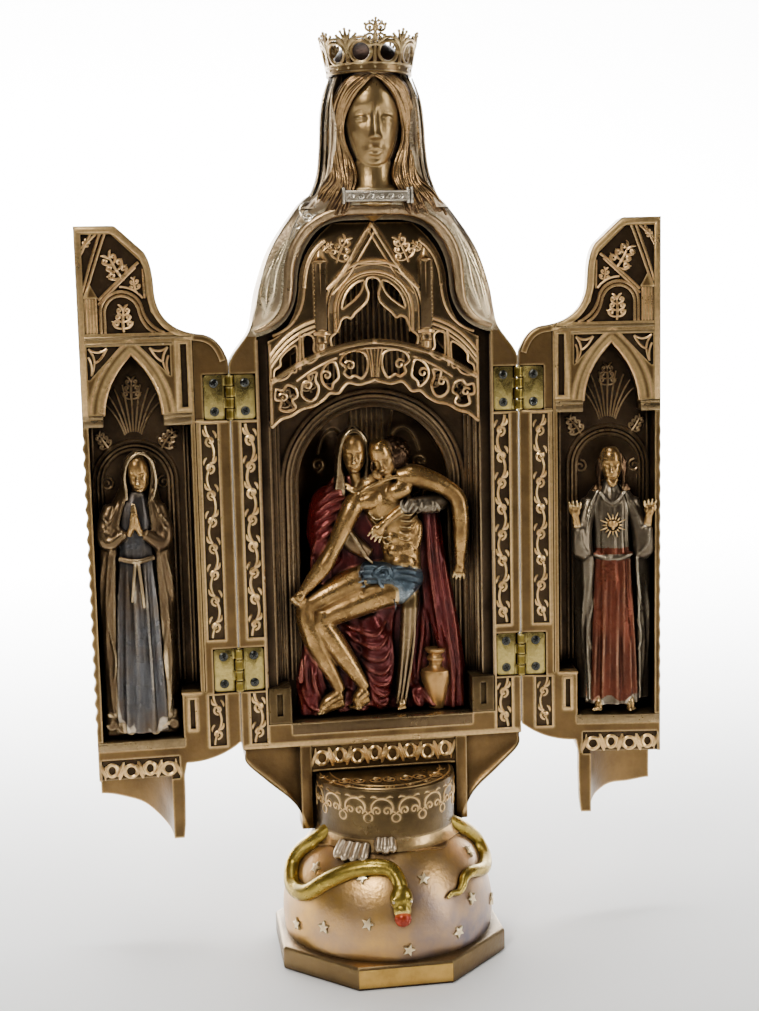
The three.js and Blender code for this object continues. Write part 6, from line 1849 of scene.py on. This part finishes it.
        fan.append([(2.4 + 0.8 * s, 124.4 - 0.8 * s), (5.4 + 4.6 * s, 122.4 - 2.8 * s + 2.4 * s * s),
            (4.8 + 9.2 * s, 113.8 + 6.4 * s)])
    fan += [[(-6.8, 126.8), (-3, 127.8), (2, 127), (8, 127.2), (12.6, 127.2)], [(-7.4, 125.2), (-3, 126.2),
        (1.6, 125)], [(-7.4, 123.4), (-3, 124.2), (1.2, 123.6)], [(3.6, 125.8), (9, 126), (13.6, 125)],
        [(3.6, 124.6), (9, 124.4), (14, 122.8)], [(-6.6, 121.9), (-3, 122.3), (0.6, 122.2)]]
    folds = foldsOn(cloth, fan, 0.6, 0)
    knot = strands("knot",
        [smooth([(-1.8, 3.9, 125.2), (0.4, 3.2, 127.2), (3.2, 3.2, 127.2), (3.8, 3.2, 124.8),
        (1.4, 3.1, 123.8), (-1.6, 3.7, 125.2)], 0.75),
        smooth([(1.4, 3.3, 125.4), (0.2, 3.4, 122.8), (1.4, 3.9, 120.6)], 0.7)], 10)
    wrapPiece = paint(fuse([cloth, folds, knot], "loinclothFolds", 0.3, 1, 0.35), "blue")
    return [skin, hair, wrapPiece]


def buildVase():
    profile = [(0.1, 77.8), (2.8, 77.8), (3, 78.4), (3.9, 82), (5.1, 87), (5.45, 89.6), (5.2, 90.9),
        (3.4, 91.5), (2.6, 92.2), (2.5, 93.6), (3.1, 94.2), (3.2, 95), (2.6, 95.6), (2.6, 96.4),
        (3.7, 97.2), (3.9, 98), (3.3, 98.5), (2.4, 98.4), (0.6, 98.2)]
    return paint(loft("vase", turnedRings(profile, 48, 19.8, 9)), "gold")


def buildPieta():
    whole = joinPieces([*buildMother(), *buildSon(), buildVase()], "lamentation_cast")
    return finishPiece(whole, "shrine", "tinted_bronze", "pieta_group", angle=50)


buildPieta()

# figures in the doors, drawn for the right-hand leaf
def buildPrayingMadonna():
    gown = robe("gown", [(77.4, 31, 5, 9.4, 4.9, 0.3), (84, 31, 4.4, 9, 5.4, 0.45),
        (100, 31.2, 4.2, 8.2, 5.4, 0.45), (120, 31.4, 4.2, 7.2, 5, 0.4), (134, 31.4, 4.4, 6, 4.4, 0.2),
        (146, 31.3, 4.6, 6.8, 4.4, 0.1), (152, 31.2, 5, 6, 3.8, 0.1), (156, 30.6, 5.4, 3, 3, 0)], 13, 21)
    long = [[(27.4 + i * 1.75, 131), (26.4 + i * 2, 108), (25.2 + i * 2.35, 84)] for i in range(5)]
    gownFolds = foldsOn(gown, long, 0.62, 0.1)
    gown = paint(fuse([gown, gownFolds], "gownFolds", 0.42, 1), "blueGown")
    mantle = cloak("mantle", [(78.6, 31.6, 7, 11.6, 6.9, 0.5, 0.66), (92, 31.6, 7, 12, 7, 0.5, 0.72),
        (112, 31.7, 6.8, 12.4, 7, 0.45, 0.66), (130, 31.6, 6.2, 12.4, 7, 0.3, 0.6),
        (140, 31.5, 5.8, 11.8, 6.6, 0.15, 0.55), (148, 31.2, 5.6, 10, 6.2, 0.1, 0.5),
        (153, 30.6, 5.4, 7.6, 5.6, 0.1, 0.55), (158, 29.8, 5.2, 6, 5.3, 0, 0.74),
        (163, 29.3, 5, 5.6, 5.4, 0, 0.78), (166.6, 29.1, 5.2, 4.4, 4.7, 0, 0.6),
        (168.8, 28.9, 5.6, 2.2, 2.8, 0, 0.3)], 1.2, 9, 22, 80)
    sleeves = [limb("sleeve", [(24, 4.2, 151), (22, 2.4, 143.6), (23.4, 1.2, 139.6), (28.6, -0.4, 142.8)],
        [2.6, 2.7, 2.7, 1.7]), limb("sleeve", [(38.8, 4.2, 151), (41, 2.4, 144.2), (39.8, 1.2, 140.2),
        (34.8, -0.4, 143.2)], [2.6, 2.7, 2.7, 1.7])]
    cuffs = []
    for x, z, lean in ((22.2, 147.4, 0.9), (22, 144.4, 0.5), (22.9, 141.4, -0.4), (24.6, 140.6, -1.3),
            (26.4, 141.6, -1.6), (27.8, 142.4, -1.8)):
        across = np.array([math.cos(lean), 0, math.sin(lean)]) * 2.2
        for hand in (-1, 1):
            middle = np.array([31.4 + hand * (31.4 - x), 1.6 - abs(lean) * 0.6, z])
            ends = across * (-hand, 1, -hand)
            cuffs.append(smooth([middle - ends + (0, 1.4, 0), middle + (0, -1.9, 0), middle + ends
                + (0, 1.4, 0)], 0.42, 5))
    edges = [[(x[i], z) for i, z in enumerate((138, 126, 114, 102, 90, 79.6))] for hand,
        x in ((-1, (24.2, 23.6, 22.4, 24, 23.2, 25)), (1, (39, 39.6, 41, 39.2, 40.4, 38)))]
    swags = [[(24.6, 139.4), (23.6, 130), (22.2, 118), (21.6, 102)], [(39.4, 139.4), (40.6, 130),
        (41.6, 118), (42, 102)], [(22.4, 136), (20.6, 126), (20, 112)],
        [(41.6, 136), (43, 126), (43.4, 112)], [(22, 100), (22.4, 90), (23.4, 81)],
        [(41.4, 100), (41, 90), (40.4, 81)], [(25.4, 153.4), (24.2, 149), (22.4, 145)],
        [(36.4, 153.4), (38, 149), (40.4, 145.6)], [(27.2, 152.4), (27, 147), (25.4, 143)],
        [(34.4, 152.4), (35.4, 147), (37.4, 143)]]
    cape = fuse([mantle, *sleeves, strands("cuffs", cuffs, 8)], "cape", 0.4, 1)
    capeFolds = foldsOn(cape, swags + edges, 0.6, 0.1)
    hood = strands("hoodEdge",
        [smooth([(25.6, 1, 153.6), (24.4, 0.7, 157.6), (24.4, 0.4, 162), (25.8, 0.3, 166.4),
        (29, 0.3, 168.4), (32.3, 0.3, 166.4), (33.9, 0.6, 162), (33.8, 0.9, 157.6), (33.6, 1, 153.6)],
        0.5)], 8)
    cape = paint(fuse([cape, capeFolds, hood], "capeFolds", 0.38, 1), "figureMantle")
    face = fuse([*placed(faceParts(), (29.5, 3.3, 160.6), 4.7, (8, 6, 8)),
        limb("neck", [(29.8, 5, 157), (30.4, 5, 152.4)], [2, 2.6])], "face", 0.3, 1, 0.35)
    hands = []
    for side in (-1, 1):
        hands += [limb("palm", [(31.5 + side * 2, 0.2, 142.6), (31.5 + side * 0.9, -1.1, 145.2),
            (31.6 + side * 0.6, -1.4, 148)], [1.1, 1, 0.85]),
            limb("fingers", [(31.6 + side * 0.6, -1.4, 147.6), (31.7 + side * 0.45, -1.5, 150),
            (31.8 + side * 0.3, -1.4, 152.6)], [0.8, 0.62, 0.35]),
            limb("thumb", [(31.5 + side * 0.9, -1.8, 146), (31.6 + side * 0.5, -2.2, 148.6)], [0.45, 0.3])]
    hands = fuse(hands, "hands", 0.26, 1, 0.35)
    sash = strands("sash", [smooth([(26, 0.2, 135), (31.4, -0.9, 134), (36.8, 0.2, 135)], 0.85),
        smooth([(31, -0.9, 134), (30.2, -0.8, 126), (29.6, -0.6, 119)], 0.6),
        smooth([(31.8, -0.9, 134), (32.6, -0.8, 127), (33.2, -0.6, 121)], 0.55)], 10)
    skin = [paint(face, "skin"), paint(hands, "skin"), paint(sash, "figureMantle")]
    clouds = []
    wander = np.random.default_rng(17)
    for x, z, r in ((21.6, 79.6, 2.4), (25.4, 80.8, 2.9), (29.4, 79.6, 2.8), (33.4, 80.8, 3),
            (37.4, 79.6, 2.8), (41.2, 80.6, 2.4), (27.4, 77.9, 1.8), (35.4, 77.9, 1.8)):
        clouds.append(ball("cloud", (x, 3.8, z), (r, 2.9, r)))
        spiral = curl(x + r * 0.75, z, r * 0.72, 0, 460, 1 if wander.random() > 0.5 else -1, 22)
        clouds.append(strands("cloudCurl", [(np.c_[spiral[:, 0], np.full(22, 1.2), spiral[:, 1]], 0.45)],
            8))
    clouds.append(block("cloudBed", 20, 43.2, 3, 10, 76.2, 84, 0.8))
    clouds = paint(fuse(clouds, "clouds", 0.38, 1, 0.35), "figureMantle")
    whole = joinPieces([gown, cape, *skin, clouds], "praying_madonna_cast")
    placeOnDoor(whole, "left")
    return finishPiece(whole, "left_door", "tinted_bronze", "praying_madonna", angle=50)


def buildSacredHeart():
    robeBody = robe("robe", [(78.4, 31, 5, 9.2, 4.8, 0.35), (86, 31, 4.6, 8.8, 5.3, 0.45),
        (104, 30.9, 4.4, 8, 5.2, 0.45), (122, 30.8, 4.4, 7, 5, 0.35), (136, 30.6, 4.5, 6.4, 4.6, 0.2),
        (146, 30.4, 4.8, 6.8, 4.2, 0.1), (151, 30.4, 5.2, 4.4, 3.4, 0.1), (154, 30.4, 5.6, 2.4, 2.4, 0)],
        13, 31)
    long = [[(26.4 + i * 2, 128), (25.6 + i * 2.1, 106), (24.4 + i * 2.5, 81)] for i in range(6)]
    robeFolds = foldsOn(robeBody, long, 0.62, 0.1)
    belt = strands("belt",
        [smooth([(24.4, 1.4, 129.6), (27.6, 0, 128.6), (30.8, -0.6, 128.2), (34, 0, 128.6),
        (37.2, 1.4, 129.6)], 0.8), smooth([(26.6, 0.6, 150.2), (28.6, 0.6, 147.6), (30.6, 0.4, 146.6),
        (32.6, 0.6, 147.6), (34.4, 0.6, 150.2)], 0.6)], 8)
    robePiece = paint(fuse([robeBody, robeFolds, belt], "robeFolds", 0.42, 1), "copperRed")
    robePiece.data.materials.append(finishes["silverMantle"])
    for face in robePiece.data.polygons:
        x, y, z = face.center / mm
        if z > 131.5 or z < 80.6 + 1.2 * math.sin(x * 0.7) or abs(z - 128.6) < 0.9:
            face.material_index = 1
    mantle = cloak("mantle", [(79.6, 31.8, 7, 11.6, 6.8, 0.5, 0.78), (94, 31.7, 7, 12, 7, 0.5, 0.74),
        (114, 31.5, 6.8, 12.6, 7, 0.45, 0.66), (128, 31.3, 6.4, 12.6, 6.8, 0.3, 0.6),
        (138, 30.9, 6, 11.8, 6.2, 0.15, 0.75), (146, 30.4, 5.8, 9.2, 5.8, 0.1, 0.7),
        (151, 30.4, 5.8, 6, 4.8, 0.1, 0.7), (153.6, 30.5, 6.2, 3.6, 3.4, 0, 0.6)], 1.2, 9, 32, 80)
    sleeves = [limb("sleeve", [(23.6, 4.8, 147), (21.2, 3, 138), (20.6, 2, 130.6), (19.2, 0.8, 138.4)],
        [2.9, 3.2, 3.4, 2]), limb("sleeve", [(37.2, 4.8, 147), (40.2, 3, 138), (41.2, 2, 130.6),
        (42, 0.8, 138.6)], [2.9, 3.2, 3.4, 2])]
    cape = fuse([mantle, *sleeves], "cape", 0.42, 2)
    swags = [[(24.4, 136), (25.2, 126), (24.2, 114), (22.6, 104), (24, 94), (22.8, 81)],
        [(36.8, 136), (36.6, 126), (38, 112), (40.2, 102), (38.8, 92), (40.4, 81)],
        [(22.8, 132), (23.4, 122), (22.2, 110)], [(38.6, 132), (39.2, 120), (41, 108)],
        [(26.6, 147), (26.4, 140), (25, 132)], [(34.6, 147), (35.2, 140), (36.2, 132)],
        [(40.6, 112), (41.4, 98), (40.6, 84)], [(42.6, 118), (43.2, 104), (42.4, 90)],
        [(21.4, 118), (21, 104), (21.4, 90)], [(22.6, 112), (22.4, 98), (23, 83)],
        [(25, 149), (23, 144), (21.6, 137)], [(36, 149), (38.4, 144), (40.2, 137)],
        [(19.6, 138), (20.2, 133), (22.8, 129.4)], [(42.2, 138), (41.8, 133), (38.8, 129.4)]]
    capeFolds = foldsOn(cape, swags, 0.62, 0.1)
    cape = paint(fuse([cape, capeFolds], "capeFolds", 0.38, 1), "silverMantle")
    headParts = [*placed(faceParts(), (30.6, 3.4, 158.4), 4.6, (4, -4, -6)),
        limb("neck", [(30.6, 5, 155), (30.5, 5, 150)], [2, 2.8]),
        limb("beard", [(29.2, 1.2, 154.6), (30.6, 0.5, 153), (32, 1.2, 154.6)], [0.9, 1.2, 0.9])]
    face = paint(fuse(headParts, "face", 0.3, 1, 0.35), "skin")
    locks = [ball("hairCap", (30.6, 5.6, 160.4), (4.1, 4, 4.3))]
    lines = []
    for side in (-1, 1):
        for k in range(4):
            s = k / 3
            route = [(30.6 + side * 0.3, 2.4 + s, 164), (30.6 + side * (2.6 + 0.6 * s), 1.8 + s, 162.2),
                (30.6 + side * (3.7 + 0.7 * s), 2.4 + s, 158), (30.6 + side * (3.5 + 1 * s), 2.6 + s, 154),
                (30.6 + side * (4.4 + 1.2 * s), 2.6 + s, 150.4)]
            line = bendThrough(route, 6)
            line[:, 0] += side * 0.5 * np.sin(np.linspace(0, 11, len(line)) + k)
            lines.append((line, 0.62))
    hair = paint(fuse([*locks, strands("locks", lines, 10)], "hair", 0.3, 1, 0.3), "hair")
    hands = fuse([limb("wrist", [(19, 1, 139), (18.4, 0.2, 142.6)], [1.5, 1.2]),
        *handParts((18.4, 0.1, 142.4), (-0.05, -0.1, 1), (0.95, -0.1, 0), 3.6, 0.15),
        limb("wrist", [(42.2, 1, 139), (42.6, 0.2, 142.8)], [1.5, 1.2]), *handParts((42.6, 0.1, 142.6),
        (0.05, -0.1, 1), (-0.95, -0.1, 0), 3.6, 0.15)], "hands", 0.26, 1, 0.35)
    rays = [(np.array([(30.6 + 2 * math.cos(a), -0.6, 139.4 + 2 * math.sin(a)),
        (30.6 + q * math.cos(a), -0.3, 139.4 + q * math.sin(a))]), np.array([0.34, 0.12])) for a,
        q in [(deg(i * 22.5), 4.4 if i % 2 else 3.4) for i in range(16)]]
    heart = [ball("heart", (29.9, -0.9, 139.9), (1, 0.8, 1.1), (0, 25, 0)),
        ball("heart", (31.3, -0.9, 139.9), (1, 0.8, 1.1), (0, -25, 0)),
        limb("heart", [(30.6, -0.9, 139.6), (30.6, -0.8, 138)], [1.1, 0.4])]
    heart = [paint(fuse(heart, "heart", 0.22, 1, 0.4), "gold"), paint(strands("rays", rays, 6), "gold")]
    feet = paint(fuse([*footParts((27.2, 4.2, 81), (25.2, -0.4, 77), 3), *footParts((35.6, 4.2, 81),
        (37.4, -0.4, 77), 3)], "feet", 0.3, 1), "skin")
    whole = joinPieces([robePiece, cape, face, hair, paint(hands, "skin"), *heart, feet],
        "sacred_heart_cast")
    placeOnDoor(whole, "right")
    return finishPiece(whole, "right_door", "tinted_bronze", "sacred_heart_figure", angle=50)


buildPrayingMadonna()
buildSacredHeart()

# hinges
hingePlan = {
    "levels": {"upper": 185.2, "lower": 96.5},
    "height": 14.2,
    "leaf": 8.1,
    "edge": 1.6,
    "front": 0.9,
    "thick": 0.6,
    "barrel": 1.3,
    "bore": 0.5,
    "gap": 0.3,
    "knuckles": 4,
    "pin": 0.45,
    "screwAt": 4.9,
    "screwApart": 4.5,
    "screwSize": 1.5
}


# one leaf with its knuckles, from the axis outwards
def buildLeaf(level, first):
    plan = hingePlan
    low = level - plan["height"] / 2
    corner = 0.7
    right = [(plan["leaf"] - corner, low), (plan["leaf"], low + corner),
        (plan["leaf"], low + plan["height"] - corner), (plan["leaf"] - corner, low + plan["height"])]
    leaf = plate("leaf", [[(plan["edge"], low), *right, (plan["edge"], low + plan["height"])]],
        plan["front"], plan["front"] + plan["thick"], 0.12)
    pieces = [leaf]
    pitch = plan["height"] / plan["knuckles"]
    for k in range(first, plan["knuckles"], 2):
        z0, z1 = low + k * pitch + plan["gap"] / 2, low + (k + 1) * pitch - plan["gap"] / 2
        profile = [(plan["bore"], z0), (plan["barrel"] - 0.15, z0), (plan["barrel"], z0 + 0.15),
            (plan["barrel"], z1 - 0.15), (plan["barrel"] - 0.15, z1), (plan["bore"], z1)]
        pieces += [hollowTurned("knuckle", profile, 28), block("web", 0.75, plan["edge"] + 0.4, 0.62,
            plan["front"] + plan["thick"], z0, z1, 0.1)]
    return paint(joinPieces(pieces, "hingeLeaf"), "brass")


# a domed screw with a cross slot
def buildScrew(level):
    plan = hingePlan
    top = ball("screw", (plan["screwAt"], plan["front"] - 0.02, level), (plan["screwSize"], 0.55,
        plan["screwSize"]), segments=32, rings=16)
    slots = [block("slot", plan["screwAt"] - 0.95, plan["screwAt"] + 0.95, -1, plan["front"] - 0.22,
        level - 0.18, level + 0.18, 0), block("slot", plan["screwAt"] - 0.18, plan["screwAt"] + 0.18, -1,
        plan["front"] - 0.22, level - 0.95, level + 0.95, 0)]
    for slot in slots:
        slot.data.transform(Matrix.Translation(Vector((plan["screwAt"], 0, level)) * mm)
            @ Matrix.Rotation(deg(28), 4, "Y")
            @ Matrix.Translation(Vector((-plan["screwAt"], 0, -level)) * mm))
    cutAway(top, *slots)
    return paint(top, "screw")


# what is drawn from the axis outwards, set on the body's side of that axis
def placeOnBody(piece, mirror):
    piece.data.transform(hingeShift(mirror) @ Matrix.Diagonal((-mirror, 1, 1, 1)))
    if mirror > 0:
        piece.data.flip_normals()
    return piece


def buildHinges():
    plan = hingePlan
    for side in ("left", "right"):
        mirror = -1 if side == "left" else 1
        for place, level in plan["levels"].items():
            name = side + "_" + place + "_hinge_"
            doorLeaf = placeOnDoor(buildLeaf(level, 1), side)
            doorLeaf.name = name + "door_brass"
            finishPiece(doorLeaf, side + "_door", "brass", name + "door_leaf")
            bodyLeaf = placeOnBody(buildLeaf(level, 0), mirror)
            bodyLeaf.name = name + "body_brass"
            finishPiece(bodyLeaf, "shrine", "brass", name + "body_leaf")
            low = level - plan["height"] / 2 - 0.3
            axis = (mirror * hingeAxis[0], hingeAxis[1])
            line = np.array([(*axis, low), (*axis, low + plan["height"] + 0.6)])
            pin = paint(strands(name + "pin_brass", [(line, plan["pin"])], 20), "brass")
            finishPiece(pin, "shrine", "brass", name + "pin")
            for spot, shift in (("top", plan["screwApart"]), ("bottom", -plan["screwApart"])):
                doorScrew = placeOnDoor(buildScrew(level + shift), side)
                doorScrew.name = name + "door_head_" + spot
                finishPiece(doorScrew, side + "_door", "dark_steel", name + "door_screw_" + spot)
                bodyScrew = placeOnBody(buildScrew(level + shift), mirror)
                bodyScrew.name = name + "body_head_" + spot
                finishPiece(bodyScrew, "shrine", "dark_steel", name + "body_screw_" + spot)


buildHinges()
